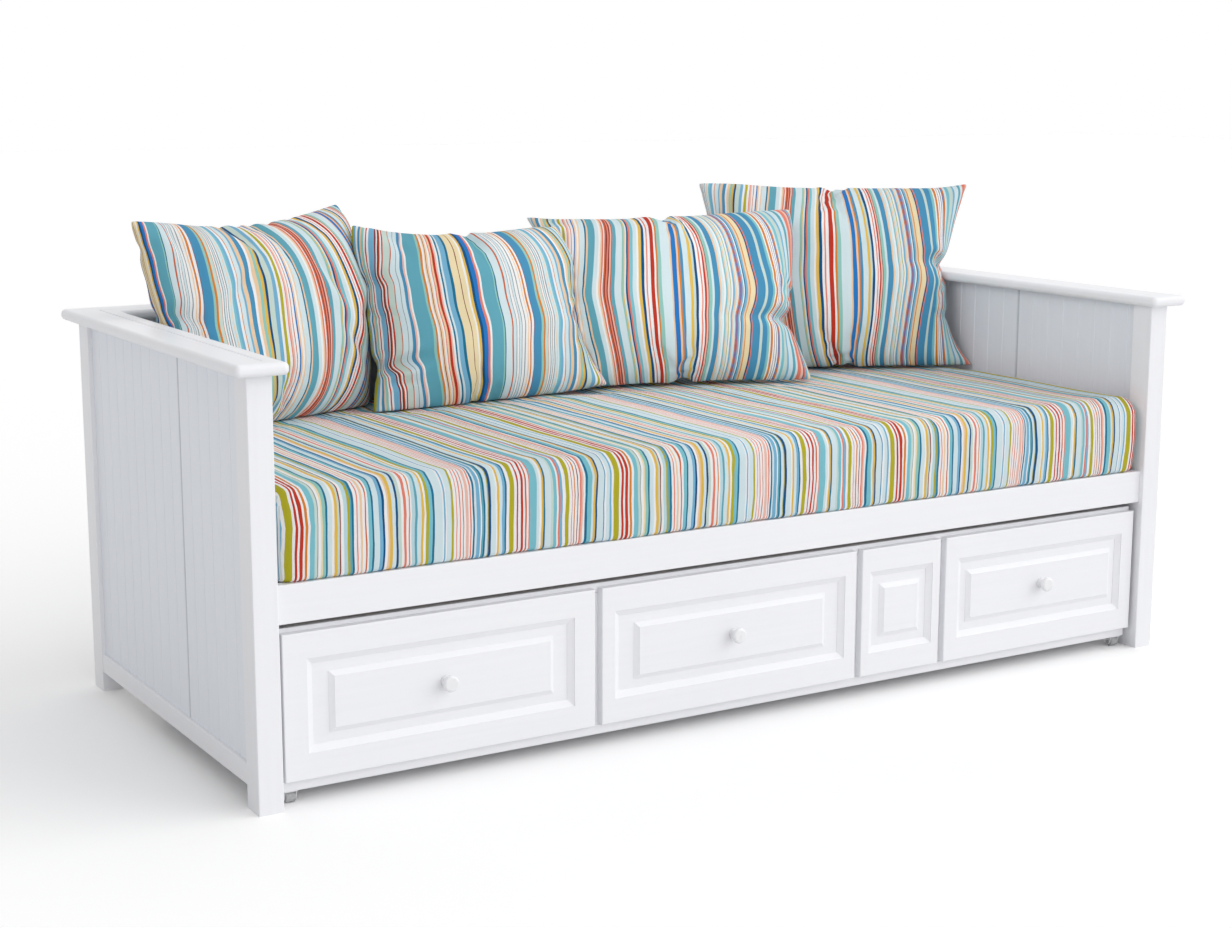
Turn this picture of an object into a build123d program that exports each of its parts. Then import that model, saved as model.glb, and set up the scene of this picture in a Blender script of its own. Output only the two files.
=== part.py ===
from build123d import *
import os

# Storage daybed in millimetres: +Z up, the front faces -Y, origin on the floor at the middle.

# Whole bed
bed_length = 2100.0        # over the outer faces of the posts
bed_depth = 905.0          # over the front and rear faces of the posts
post_height = 758.0
glue_gap = 0.1             # between faces that are glued or screwed together
rest_gap = 0.3             # between a piece and the seat that it only rests on
fit_gap = 0.2              # round a tenon, tongue or housed edge
bottom_gap = 0.8           # past the end of a tenon or tongue
overrun = 5.0              # how far a cutter runs past what it cuts
edge_round = 2.0           # eased edges of posts, rails and fronts

# Posts
post_width = 46.0
post_depth = 54.0
post_pin_radius = 9.0
post_pin_length = 12.0

# Cap rails
cap_thickness = 22.0
cap_overhang = 28.0        # past the outer and front faces of the posts
cap_width = 96.0
cap_round = 9.5
cap_line_inset = 34.0      # routed line, from the inner edge
cap_line_width = 2.4
cap_line_depth = 1.4

# Beadboard panels
panel_thickness = 20.0
panel_recess = 9.0         # behind the outer faces of the posts
tongue_thickness = 10.0
tongue_depth = 8.0
bead_pitch = 50.0
bead_width = 3.2
bead_depth = 1.5
joint_width = 6.0
joint_depth = 3.4
joint_shares = {"left": -0.108, "right": -0.018, "back": 0.0}   # of the depth or length of the bed

# End rails close above the floor
end_rail_bottom = 40.0
end_rail_height = 38.0
end_rail_thickness = 30.0
end_rail_recess = 2.0
end_tenon_length = 16.0
end_tenon_thickness = 14.0
end_tenon_height = 24.0

# Front and back rails at mattress height
rail_bottom = 327.5
rail_height = 69.0
rail_thickness = 22.0
rail_recess = 10.6
rail_tenon_length = 12.0
rail_tenon_thickness = 12.0
rail_tenon_height = 45.0

# Slats and their ledgers
slat_count = 14
slat_width = 70.0
slat_thickness = 18.0
slat_end_margin = 62.0     # middle of the last slat to the inner face of the post
slat_end_gap = 2.0
ledger_width = 24.0
ledger_height = 34.0
notch_depth = 6.0
notch_gap = 0.5

# Steel angles behind the ends of the rails
angle_thickness = 3.0
angle_long_leg = 42.0
angle_short_leg = 19.0
angle_height = 44.0
angle_screw_inset = 11.0   # screw middle from the top or bottom of the angle
angle_screw_reach_share = 0.66
screw_radius = 2.1
screw_length = 16.0
screw_head_radius = 4.0
screw_head_height = 2.4
screw_gap = 0.15

# Mattress
mattress_end_gap = 6.0
mattress_back_gap = 3.0    # to the back panel
mattress_front_step = 0.6  # behind the face of the front rail
mattress_height = 162.0
mattress_top_round = 34.0
mattress_corner_round = 30.0
mattress_bottom_round = 8.0

# Pillows, from left to right: sizes of each, and how it stands
pillow_names = ("pillow_left", "pillow_middle_left", "pillow_middle_right", "pillow_right")
pillow_widths = (570.0, 575.0, 620.0, 650.0)
pillow_heights = (425.0, 390.0, 405.0, 448.0)
pillow_depths = (165.0, 160.0, 160.0, 165.0)
pillow_rear_gaps = (190.5, 169.5, 198.5, 175.5)     # middle of the bottom edge to the back panel
pillow_place_shares = (-0.731, -0.219, 0.239, 0.737)  # along the bed, of half the room between the posts
pillow_turn_degrees = (20.0, 3.0, -19.0, -24.0)
pillow_lean_degrees = (11.0, 16.0, 20.0, 15.0)
pillow_sink = 26.0         # bottom edge pressed flat by the weight
# Seams, corners from the lower left round to the upper left: shares of the width and height
pillow_corner_shares = (
    ((-0.460, 0.0), (0.460, 0.0), (0.484, 1.007), (-0.493, 0.984)),
    ((-0.504, 0.0), (0.501, 0.0), (0.421, 0.964), (-0.477, 1.008)),
    ((-0.484, 0.0), (0.503, 0.0), (0.471, 1.002), (-0.519, 0.998)),
    ((-0.508, 0.0), (0.462, 0.0), (0.471, 0.989), (-0.542, 1.004)),
)
# Middles of the seams, lower, right, upper and left, drawn in between the corners
pillow_middle_shares = (
    ((0.0, 0.012), (0.470, 0.50), (0.0, 0.922), (-0.426, 0.51)),
    ((0.0, 0.012), (0.417, 0.46), (-0.02, 0.923), (-0.466, 0.43)),
    ((0.0, 0.020), (0.432, 0.40), (0.0, 0.958), (-0.439, 0.50)),
    ((0.0, 0.012), (0.366, 0.42), (0.0, 0.967), (-0.474, 0.50)),
)
# From the seam to the crown: share of half the depth, reach of the corners, reach of the middles
pillow_level_shares = [
    (0.0, 1.0, 1.0),
    (0.30, 0.83, 0.935),
    (0.58, 0.66, 0.80),
    (0.82, 0.45, 0.60),
    (0.95, 0.25, 0.36),
    (1.0, 0.06, 0.09),
]

# Drawer chest
chest_lift = 23.0          # underside of the chest over the floor
chest_top = 316.0
chest_side_gap = 9.5       # chest to post
chest_depth = 600.0
chest_floor_thickness = 20.0
chest_wall = 18.0
chest_back_thickness = 12.0
chest_rail_depth = 80.0
housing_depth = 6.0        # dividers let into the floor of the chest

# Fronts, from left to right
front_recess = 14.0        # behind the front faces of the posts
front_thickness = 16.0
front_bottom = 45.0
front_top = 308.5
front_reveal = 15.0        # gap between two fronts
front_names = ("left", "middle", "filler", "right")
front_width_shares = (0.3182, 0.3055, 0.1039, 0.2724)   # of the room between the posts less the gaps
stile_widths = {"left": 44.0, "middle": 28.0, "filler": 20.0, "right": 34.0}
front_rail_width = 47.0    # frame above and below the panel
moulding_width = 12.0      # slope from the frame down to the ground of the panel
moulding_step = 1.5        # steps at its outer edge and at its foot
moulding_foot = 1.0
ground_depth = 9.0         # below the frame, at the foot of the moulding
ground_rise = 1.0          # towards the field
ground_widths = {"left": 30.0, "middle": 34.0, "filler": 17.0, "right": 15.0}
ground_height = 17.5       # flat ground above and below the field
field_slope_width = 9.0
field_step = 0.8           # steps at both edges of the field's slope
field_depth = 1.0          # field below the frame

# Knobs
knob_foot_radius = 10.5
knob_neck_radius = 7.0
knob_head_radius = 15.5
knob_reach = 25.0
knob_head_height = 12.0
knob_foot_height = 3.0
knob_face_share = 0.7      # flat face, of the head's radius
knob_rim_share = 0.45      # widest place, from the face, of the head's height
knob_under_share = 0.84    # edge under the head, of the head's radius and height
knob_spigot_radius = 4.0
knob_spigot_length = 12.0
knob_rise = 4.0            # over the middle of the front
knob_spigot_gap = 0.1

# Drawer boxes
drawer_side_gap = 3.0
drawer_side_thickness = 14.0
drawer_rear_room = 80.0    # rear of the chest to the rear of the drawer sides
drawer_box_bottom = 49.0
drawer_box_top = 286.0
drawer_back_thickness = 12.0
drawer_back_inset = 12.0
drawer_back_drop = 10.0
drawer_floor_thickness = 6.0
drawer_floor_height = 9.0  # over the bottom edges of the sides
drawer_housing = 5.0       # sides and floor let into the front
runner_height = 12.0
runner_level = 150.0       # underside of the runners
runner_front_inset = 22.0
runner_back_inset = 40.0
runner_entry = 7.0         # how far a runner reaches into the groove
runner_end_gap = 1.0
runner_under_gap = 0.6
drawer_travel = 400.0

# Casters
wheel_radius = 10.0
wheel_width = 19.0
wheel_edge_round = 2.0
axle_radius = 2.5
axle_gap = 0.05
axle_head_radius = 3.8
axle_head_height = 1.2
cheek_thickness = 1.6
cheek_gap = 0.6
cheek_foot_radius = 5.6
cheek_top_half = 9.0
plate_front = 12.0         # from the wheel's middle to the near end of the plate
plate_back = 30.0
caster_inset_x = 17.5      # wheel's middle from the side of the chest
caster_inset_front = 14.5
caster_inset_back = 60.0
caster_screw_x = 7.5
caster_screw_inset = 7.0
caster_screw_radius = 1.6
caster_screw_length = 13.0
caster_screw_head_radius = 3.0
caster_screw_head_height = 1.4

# Places that follow from the sizes above
half_length = bed_length / 2
half_depth = bed_depth / 2
post_inner_x = half_length - post_width
post_inner_y = half_depth - post_depth
rail_top = rail_bottom + rail_height
end_rail_top = end_rail_bottom + end_rail_height
cap_half_length = half_length + cap_overhang
cap_half_depth = half_depth + cap_overhang
cap_inner_x = cap_half_length - cap_width
cap_inner_y = cap_half_depth - cap_width
cap_top = post_height + cap_thickness
slat_bottom = rail_top - slat_thickness
front_rail_outer = -half_depth + rail_recess
front_rail_inner = front_rail_outer + rail_thickness
back_rail_outer = half_depth - end_rail_recess
back_rail_inner = back_rail_outer - end_rail_thickness
angle_mid_z = (rail_bottom + slat_bottom) / 2
panel_inner_x = half_length - panel_recess - panel_thickness
panel_inner_y = half_depth - panel_recess - panel_thickness
mattress_bottom = rail_top + rest_gap
mattress_top = mattress_bottom + mattress_height
front_face = -half_depth + front_recess
front_back = front_face + front_thickness
chest_front = front_back + rest_gap
chest_rear = chest_front + chest_depth
chest_half = post_inner_x - chest_side_gap
chest_floor_top = chest_lift + chest_floor_thickness
chest_rail_bottom = chest_top - chest_wall
drawer_side_length = chest_depth - drawer_rear_room


def block(low, high):
    """Box from its lowest to its highest corner."""
    size = [b - a for a, b in zip(low, high)]
    middle = [(a + b) / 2 for a, b in zip(low, high)]
    return Pos(*middle) * Box(*size)


def grown(low, high, gap, end_gap, axis):
    """Cutter for a tenon or tongue: gap round it, end_gap along the axis it goes in by."""
    lows = [a - (end_gap if i == axis else gap) for i, a in enumerate(low)]
    highs = [b + (end_gap if i == axis else gap) for i, b in enumerate(high)]
    return block(lows, highs)


def eased(shape, axis, radius=edge_round):
    """Round the edges that run along one axis."""
    return fillet(shape.edges().filter_by(axis), radius)


def flipped(shape):
    return mirror(shape, about=Plane.YZ)


def save(shape, name):
    shape = shape if isinstance(shape, (Solid, Compound)) else Compound(shape)
    shape.label = name
    export_step(shape, "parts/" + name + ".step")


# Tongues and tenons as boxes, so that a post is cut by what goes into it.
# Each is (low corner, high corner) for the left end of the bed.
end_tenon_x = -half_length + end_rail_recess + end_rail_thickness / 2
end_tenon_z = end_rail_bottom + end_rail_height / 2
panel_mid_x = -half_length + panel_recess + panel_thickness / 2
panel_mid_y = half_depth - panel_recess - panel_thickness / 2
rail_mid_z = rail_bottom + rail_height / 2


def end_tenon(front):
    """Tenon of the left end rail in the front (or rear) post."""
    y = [post_inner_y - glue_gap, post_inner_y + end_tenon_length]
    y = [-y[1], -y[0]] if front else y
    low = (end_tenon_x - end_tenon_thickness / 2, y[0], end_tenon_z - end_tenon_height / 2)
    high = (end_tenon_x + end_tenon_thickness / 2, y[1], end_tenon_z + end_tenon_height / 2)
    return low, high


def rail_tenon(middle_y, length, thickness):
    """Tenon of the front or back rail in the left post."""
    low = (-post_inner_x - length, middle_y - thickness / 2, rail_mid_z - rail_tenon_height / 2)
    high = (-post_inner_x + glue_gap, middle_y + thickness / 2, rail_mid_z + rail_tenon_height / 2)
    return low, high


front_tenon = rail_tenon(front_rail_outer + rail_thickness / 2, rail_tenon_length, rail_tenon_thickness)
back_tenon = rail_tenon(back_rail_outer - end_rail_thickness / 2, rail_tenon_length, rail_tenon_thickness)


# Steel angles: one in each corner behind the rails, with two screws in each leg
def angle_screws(front):
    """Places and directions of the screws of the left angle, front or back."""
    side = -1 if front else 1
    inner_y = front_rail_inner if front else back_rail_inner
    places = []
    reach = angle_height / 2 - angle_screw_inset
    for z in (angle_mid_z - reach, angle_mid_z + reach):
        along_x = -post_inner_x + angle_long_leg * angle_screw_reach_share
        places.append(((along_x, inner_y - side * (glue_gap + angle_thickness), z), (0, side, 0)))
        along_y = inner_y - side * angle_short_leg * angle_screw_reach_share
        places.append(((-post_inner_x + glue_gap + angle_thickness, along_y, z), (-1, 0, 0)))
    return places


def screw(place, direction, gap=0.0):
    """Pan-head screw: the head stands on the plate, the shank goes through it into the wood."""
    axis = Plane(origin=place, z_dir=direction)
    shank = extrude(axis * Circle(screw_radius + gap), screw_length + (gap and bottom_gap))
    if gap:
        return shank
    head = extrude(axis * Circle(screw_head_radius), -screw_head_height)
    head = Pos(*[-glue_gap * d for d in direction]) * head
    link = extrude(axis * Circle(screw_radius), -glue_gap)
    return shank + link + head


def angle(front):
    side = -1 if front else 1
    inner_y = front_rail_inner if front else back_rail_inner
    z0 = angle_mid_z - angle_height / 2
    z1 = angle_mid_z + angle_height / 2
    x0 = -post_inner_x + glue_gap
    near = inner_y - side * glue_gap
    ys = sorted((near, near - side * angle_thickness))
    long_leg = block((x0, ys[0], z0), (x0 + angle_long_leg, ys[1], z1))
    ys = sorted((near, near - side * angle_short_leg))
    short_leg = block((x0, ys[0], z0), (x0 + angle_thickness, ys[1], z1))
    shape = long_leg + short_leg
    for place, direction in angle_screws(front):
        hole = Plane(origin=place, z_dir=direction) * Circle(screw_radius + screw_gap)
        shape -= extrude(hole, angle_thickness * 2, both=True)
    return shape


# Posts
def post(front):
    """Left post, cut for the panel tongue, the rail tenons and the screws."""
    y = (-half_depth, -post_inner_y) if front else (post_inner_y, half_depth)
    shape = block((-half_length, y[0], 0), (-post_inner_x, y[1], post_height))
    shape = eased(shape, Axis.Z)
    shape += Pos(-half_length + post_width / 2, (y[0] + y[1]) / 2, post_height) * Cylinder(
        post_pin_radius, post_pin_length, align=(Align.CENTER, Align.CENTER, Align.MIN))
    groove_y = (post_inner_y - overrun, post_inner_y + tongue_depth + bottom_gap)
    groove_y = (-groove_y[1], -groove_y[0]) if front else groove_y
    half_groove = tongue_thickness / 2 + fit_gap
    shape -= block((panel_mid_x - half_groove, groove_y[0], end_rail_top - tongue_depth - bottom_gap),
                   (panel_mid_x + half_groove, groove_y[1], post_height + glue_gap))
    shape -= grown(*end_tenon(front), fit_gap, bottom_gap, 1)
    shape -= grown(*(front_tenon if front else back_tenon), fit_gap, bottom_gap, 0)
    if not front:
        groove_x = -post_inner_x - tongue_depth - bottom_gap
        shape -= block((groove_x, panel_mid_y - half_groove, rail_top - tongue_depth),
                       (-post_inner_x + overrun, panel_mid_y + half_groove, post_height + glue_gap))
    for place, direction in angle_screws(front):
        if direction[0]:
            shape -= screw(place, direction, screw_gap)
    return shape


# Beadboard: an outline in plan with V grooves on both faces, drawn up to its height
def beadboard(width, bottom, top, joint_at):
    """Panel along X, middle of its thickness on Y = 0, tongues at both ends and below."""
    half = width / 2 - glue_gap
    lines = []
    count = int(width / bead_pitch) + 1
    for k in range(-count, count + 1):
        x = joint_at + k * bead_pitch
        if abs(x) < half - bead_pitch / 3:
            size = (bead_width / 2, bead_depth) if k else (joint_width / 2, joint_depth)
            lines.append((x, *size))
    face = -panel_thickness / 2
    near = [(-half, -tongue_thickness / 2), (-half, face)]
    for x, reach, depth in lines:
        near += [(x - reach, face), (x, face + depth), (x + reach, face)]
    near += [(half, face), (half, -tongue_thickness / 2)]
    tip = [(half + tongue_depth, -tongue_thickness / 2), (half + tongue_depth, tongue_thickness / 2)]
    far = [(x, -y) for x, y in reversed(near)]
    end = [(-x, -y) for x, y in tip]
    outline = make_face(Polyline(near + tip + far + end, close=True))
    panel = Pos(0, 0, bottom) * extrude(outline, top - bottom)
    return panel + block((-half, -tongue_thickness / 2, bottom - tongue_depth),
                         (half, tongue_thickness / 2, bottom))


def end_panel(joint_at):
    panel = beadboard(post_inner_y * 2, end_rail_top + glue_gap, post_height - glue_gap, joint_at)
    return Pos(panel_mid_x, 0, 0) * Rot(0, 0, 90) * panel


def back_panel():
    panel = beadboard(post_inner_x * 2, rail_top + glue_gap, post_height - glue_gap,
                      joint_shares["back"] * bed_length)
    return Pos(0, panel_mid_y, 0) * panel


# Rails
def end_rail():
    outer = -half_length + end_rail_recess
    shape = block((outer, -post_inner_y + glue_gap, end_rail_bottom),
                  (outer + end_rail_thickness, post_inner_y - glue_gap, end_rail_top))
    shape = eased(shape, Axis.Y)
    half_groove = tongue_thickness / 2 + fit_gap
    groove_floor = end_rail_top - tongue_depth - bottom_gap
    shape -= block((panel_mid_x - half_groove, -post_inner_y - overrun, groove_floor),
                   (panel_mid_x + half_groove, post_inner_y + overrun, end_rail_top + overrun))
    return shape + block(*end_tenon(True)) + block(*end_tenon(False))


def front_rail():
    shape = block((-post_inner_x + glue_gap, front_rail_outer, rail_bottom),
                  (post_inner_x - glue_gap, front_rail_inner, rail_top))
    shape = eased(shape, Axis.X)
    tenon = block(*front_tenon)
    shape = shape + tenon + flipped(tenon)
    for place, direction in angle_screws(True):
        if direction[1]:
            hole = screw(place, direction, screw_gap)
            shape = shape - hole - flipped(hole)
    return shape


def back_rail():
    shape = block((-post_inner_x + glue_gap, back_rail_inner, rail_bottom),
                  (post_inner_x - glue_gap, back_rail_outer, rail_top))
    shape = eased(shape, Axis.X)
    half_groove = tongue_thickness / 2 + fit_gap
    groove_floor = rail_top - tongue_depth - bottom_gap
    shape -= block((-post_inner_x - overrun, panel_mid_y - half_groove, groove_floor),
                   (post_inner_x + overrun, panel_mid_y + half_groove, rail_top + overrun))
    tenon = block(*back_tenon)
    shape = shape + tenon + flipped(tenon)
    for place, direction in angle_screws(False):
        if direction[1]:
            hole = screw(place, direction, screw_gap)
            shape = shape - hole - flipped(hole)
    return shape


# Cap rails: one U with a bullnosed edge and a routed line, cut apart at the mitres
def caps():
    outer = block((-cap_half_length, -cap_half_depth, post_height + glue_gap),
                  (cap_half_length, cap_half_depth, cap_top))
    inner = block((-cap_inner_x, -cap_half_depth - overrun, 0),
                  (cap_inner_x, cap_inner_y, cap_top + overrun))
    ring = outer - inner
    ring = fillet(ring.edges().filter_by(Axis.Z), cap_round)
    flat = ring.faces().filter_by(Axis.Z)
    ring = fillet([edge for face in flat for edge in face.edges()], cap_round)
    line_x = cap_inner_x + cap_line_inset
    line_y = cap_inner_y + cap_line_inset
    line_floor = cap_top - cap_line_depth
    for side in (-1, 1):
        xs = sorted((side * line_x, side * (line_x + cap_line_width)))
        ring -= block((xs[0], -cap_half_depth + cap_line_inset, line_floor),
                      (xs[1], line_y + cap_line_width, cap_top + overrun))
    ring -= block((-line_x, line_y, line_floor), (line_x, line_y + cap_line_width, cap_top + overrun))
    pins = [(half_length - post_width / 2, -half_depth + post_depth / 2),
            (half_length - post_width / 2, half_depth - post_depth / 2)]
    for x, y in pins:
        pin = Pos(-x, y, post_height) * Cylinder(post_pin_radius + fit_gap, post_pin_length + bottom_gap,
                                                 align=(Align.CENTER, Align.CENTER, Align.MIN))
        ring = ring - pin - flipped(pin)
    # The wedge between the two mitre planes is the back cap
    corner = (-cap_half_length, cap_half_depth)
    tip = (0, corner[1] - cap_half_length)
    plan = make_face(Polyline([corner, tip, (-corner[0], corner[1])], close=True))
    wedge = Pos(0, 0, post_height - overrun) * extrude(plan, cap_thickness + overrun * 2)
    behind = block((-cap_half_length - overrun, cap_half_depth - glue_gap, post_height - overrun),
                   (cap_half_length + overrun, cap_half_depth + overrun, cap_top + overrun))
    back = ring & (Pos(0, glue_gap / 2, 0) * wedge)
    sides = ring - (Pos(0, -glue_gap / 2, 0) * wedge) - behind
    left = [s for s in sides.solids() if s.center().X < 0]
    right = [s for s in sides.solids() if s.center().X > 0]
    return left[0], right[0], back.solids()[0]


# Slats drop into notches in the ledgers
def slat_places():
    reach = post_inner_x - slat_end_margin
    return [-reach + 2 * reach * k / (slat_count - 1) for k in range(slat_count)]


def slats():
    return [eased(block((x - slat_width / 2, front_rail_inner + slat_end_gap, slat_bottom),
                        (x + slat_width / 2, back_rail_inner - slat_end_gap, rail_top)), Axis.Y)
            for x in slat_places()]


def ledger(front):
    side = -1 if front else 1
    inner_y = front_rail_inner if front else back_rail_inner
    ys = sorted((inner_y - side * glue_gap, inner_y - side * (glue_gap + ledger_width)))
    reach = post_inner_x - glue_gap * 2 - angle_long_leg
    top = slat_bottom - glue_gap + notch_depth
    shape = block((-reach, ys[0], top - ledger_height), (reach, ys[1], top))
    for x in slat_places():
        half = slat_width / 2 + notch_gap
        shape -= block((x - half, ys[0] - overrun, slat_bottom - glue_gap),
                       (x + half, ys[1] + overrun, top + overrun))
    return shape


# Mattress
def mattress():
    half = post_inner_x - mattress_end_gap
    shape = block((-half, front_rail_outer + mattress_front_step, mattress_bottom),
                  (half, panel_inner_y - mattress_back_gap, mattress_top))
    shape = fillet(shape.edges().filter_by(Axis.Z), mattress_corner_round)
    top = shape.faces().sort_by(Axis.Z)[-1]
    shape = fillet(top.edges(), mattress_top_round)
    bottom = shape.faces().sort_by(Axis.Z)[0]
    return fillet(bottom.edges(), mattress_bottom_round)


# Pillows: four drawn-in seams between unequal corners, stacked from the seam to the crown
def pillow_outline(k, width, height, corner_reach, middle_reach, level):
    """Section of a pillow, drawn in towards its middle by the two reaches."""
    def spots(shares, reach):
        return [(width * across * reach, height * ((up - 1 / 2) * reach)) for across, up in shares]

    corners = spots(pillow_corner_shares[k], corner_reach)
    middles = spots(pillow_middle_shares[k], middle_reach)
    arcs = [ThreePointArc(corners[n], middles[n], corners[(n + 1) % 4]) for n in range(4)]
    return Pos(0, 0, level) * make_face(arcs)


def pillow(k, gap=0.0):
    """Leaning pillow, all round larger by the gap when it serves as a cutter."""
    width = pillow_widths[k] + gap * 2
    height = pillow_heights[k] + pillow_sink + gap * 2
    half_thickness = pillow_depths[k] / 2 + gap
    half = loft([pillow_outline(k, width, height, corner, middle, half_thickness * level)
                 for level, corner, middle in pillow_level_shares])
    shape = Rot(90, 0, 0) * (half + mirror(half, about=Plane.XY))
    shape = Pos(0, 0, (pillow_heights[k] - pillow_sink) / 2) * shape
    spot = (post_inner_x * pillow_place_shares[k], panel_inner_y - pillow_rear_gaps[k],
            mattress_top + rest_gap)
    shape = Pos(*spot) * Rot(0, 0, pillow_turn_degrees[k]) * Rot(-pillow_lean_degrees[k], 0, 0) * shape
    if gap:
        return shape
    room = block((-half_length * 2, -half_depth * 2, mattress_top + rest_gap),
                 (half_length * 2, half_depth * 2, cap_top * 2))
    return (shape & room) - pillow_stops()


def pillow_stops():
    """The caps and panels that the pillows lean on, with the resting gap round them."""
    low = post_height - rest_gap
    high = cap_top + rest_gap
    far_x = half_length * 2
    far_y = half_depth * 2
    inner_x = cap_inner_x - rest_gap
    inner_y = cap_inner_y - rest_gap
    stop = block((-far_x, inner_y, low), (far_x, cap_half_depth + rest_gap, high))
    stop += block((-cap_half_length - rest_gap, -far_y, low), (-inner_x, far_y, high))
    stop += block((inner_x, -far_y, low), (cap_half_length + rest_gap, far_y, high))
    wall_x = panel_inner_x - rest_gap
    wall_y = panel_inner_y - rest_gap
    stop += block((-far_x, wall_y, 0), (far_x, far_y, low))
    for side in (-1, 1):
        xs = sorted((side * wall_x, side * far_x))
        stop += block((xs[0], -far_y, 0), (xs[1], far_y, low))
        xs = sorted((side * (post_inner_x - rest_gap), side * far_x))
        stop += block((xs[0], post_inner_y - rest_gap, 0), (xs[1], far_y, low))
    return stop


def all_pillows():
    """Each pillow, dented where the pillow on its left presses on it."""
    shapes = {}
    for k, name in enumerate(pillow_names):
        shape = pillow(k)
        if k:
            shape = shape - pillow(k - 1, gap=rest_gap)
        shapes[name] = shape.solids().sort_by(SortBy.VOLUME)[-1]
    return shapes


# Fronts of the chest, placed from left to right
def front_places():
    """Left and right edge of each front."""
    places = {}
    room = chest_half * 2 - front_reveal * (len(front_width_shares) - 1)
    x = -chest_half
    for name, share in zip(front_names, front_width_shares):
        width = room * share
        places[name] = (x, x + width)
        x += width + front_reveal
    return places


fronts = front_places()
# Dividers stand behind the middle of each reveal
divider_places = [fronts[name][1] + front_reveal / 2 for name in front_names[:-1]]


def bay(name):
    """Inner faces of the chest walls left and right of a front."""
    k = front_names.index(name)
    low = -chest_half + chest_wall if k == 0 else divider_places[k - 1] + chest_wall / 2
    high = chest_half - chest_wall if k == len(front_names) - 1 else divider_places[k] - chest_wall / 2
    return low, high


def raised_front(name):
    """Front with a moulded frame, a sunk ground and a raised field."""
    x0, x1 = fronts[name]
    middle_x, middle_z = (x0 + x1) / 2, (front_bottom + front_top) / 2
    width = x1 - x0 - stile_widths[name] * 2
    height = front_top - front_bottom - front_rail_width * 2

    def section(inset_x, inset_z, depth):
        plane = Plane(origin=(middle_x, front_face + depth, middle_z), x_dir=(1, 0, 0), z_dir=(0, -1, 0))
        return plane * Rectangle(width - inset_x * 2, height - inset_z * 2)

    shape = block((x0, front_face, front_bottom), (x1, front_back, front_top))
    face = shape.faces().sort_by(Axis.Y)[0]
    shape = fillet(face.edges(), edge_round)
    # Moulding down to the ground
    shape -= extrude(section(0, 0, moulding_step), moulding_step + overrun)
    foot = ground_depth - moulding_foot
    shape -= loft([section(0, 0, moulding_step), section(moulding_width, moulding_width, foot)])
    shape -= extrude(section(moulding_width, moulding_width, ground_depth), moulding_foot)
    # Ground, slope and field
    inset_x = moulding_width + ground_widths[name]
    inset_z = moulding_width + ground_height
    ground_top = ground_depth - ground_rise
    shape += loft([section(moulding_width, moulding_width, ground_depth),
                   section(inset_x, inset_z, ground_top)])
    slope_foot = ground_top - field_step
    shape += extrude(section(inset_x, inset_z, ground_top), field_step)
    inner_x, inner_z = inset_x + field_slope_width, inset_z + field_slope_width
    shape += loft([section(inset_x, inset_z, slope_foot),
                   section(inner_x, inner_z, field_depth + field_step)])
    return shape + extrude(section(inner_x, inner_z, field_depth + field_step), field_step)


def knob_place(name):
    x0, x1 = fronts[name]
    return (x0 + x1) / 2, front_face + field_depth, (front_bottom + front_top) / 2 + knob_rise


def knob(name):
    """Turned knob with a foot, a waist and a flat-faced head, on a spigot in the front."""
    rim = knob_reach - knob_head_height * knob_rim_share
    under = (knob_head_radius * knob_under_share, knob_reach - knob_head_height * knob_under_share)
    face = knob_head_radius * knob_face_share
    neck = (knob_foot_height + under[1]) / 2
    outline = Polyline([(0, -knob_spigot_length), (knob_spigot_radius, -knob_spigot_length),
                        (knob_spigot_radius, glue_gap), (knob_foot_radius, glue_gap),
                        (knob_foot_radius, knob_foot_height)])
    waist = ThreePointArc((knob_foot_radius, knob_foot_height), (knob_neck_radius, neck), under)
    side = ThreePointArc(under, (knob_head_radius, rim), (face, knob_reach))
    rest = Polyline([(face, knob_reach), (0, knob_reach), (0, -knob_spigot_length)])
    profile = make_face([*outline.edges(), *waist.edges(), *side.edges(), *rest.edges()])
    shape = revolve(Plane.XZ * profile, Axis.Z)
    return Pos(*knob_place(name)) * Rot(90, 0, 0) * shape


# Chest
def chest_floor():
    shape = block((-chest_half, chest_front, chest_lift), (chest_half, chest_rear, chest_floor_top))
    shape = fillet(shape.edges().filter_by(Axis.X).sort_by(Axis.Y)[:2], edge_round)
    reach = housing_depth - fit_gap
    for x in divider_places:
        half = chest_wall / 2 + fit_gap
        shape -= block((x - half, chest_front + reach, chest_floor_top - housing_depth - fit_gap),
                       (x + half, chest_rear - chest_back_thickness, chest_floor_top + overrun))
    for place in caster_places():
        for x, y in caster_screw_places(place):
            shape -= Pos(x, y, chest_lift) * Cylinder(caster_screw_radius + screw_gap,
                                                      (caster_screw_length + bottom_gap) * 2)
    return shape


def chest_side():
    return eased(block((-chest_half, chest_front, chest_floor_top + glue_gap),
                       (-chest_half + chest_wall, chest_rear, chest_top)), Axis.Y)


def chest_back():
    reach = chest_half - chest_wall - glue_gap
    return block((-reach, chest_rear - chest_back_thickness, chest_floor_top + glue_gap),
                 (reach, chest_rear, chest_top))


def chest_rail():
    reach = chest_half - chest_wall - glue_gap
    shape = block((-reach, chest_front, chest_rail_bottom),
                  (reach, chest_front + chest_rail_depth, chest_top))
    return eased(shape, Axis.X)


def divider(x):
    """Upright, let into the floor, notched under the front rail of the chest."""
    half = chest_wall / 2
    rear = chest_rear - chest_back_thickness - glue_gap
    shape = block((x - half, chest_front, chest_floor_top + glue_gap), (x + half, rear, chest_top))
    shape -= block((x - half - overrun, chest_front - overrun, chest_rail_bottom - glue_gap),
                   (x + half + overrun, chest_front + chest_rail_depth + glue_gap, chest_top + overrun))
    return shape + block((x - half, chest_front + housing_depth, chest_floor_top - housing_depth),
                         (x + half, rear, chest_floor_top + glue_gap))


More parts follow.
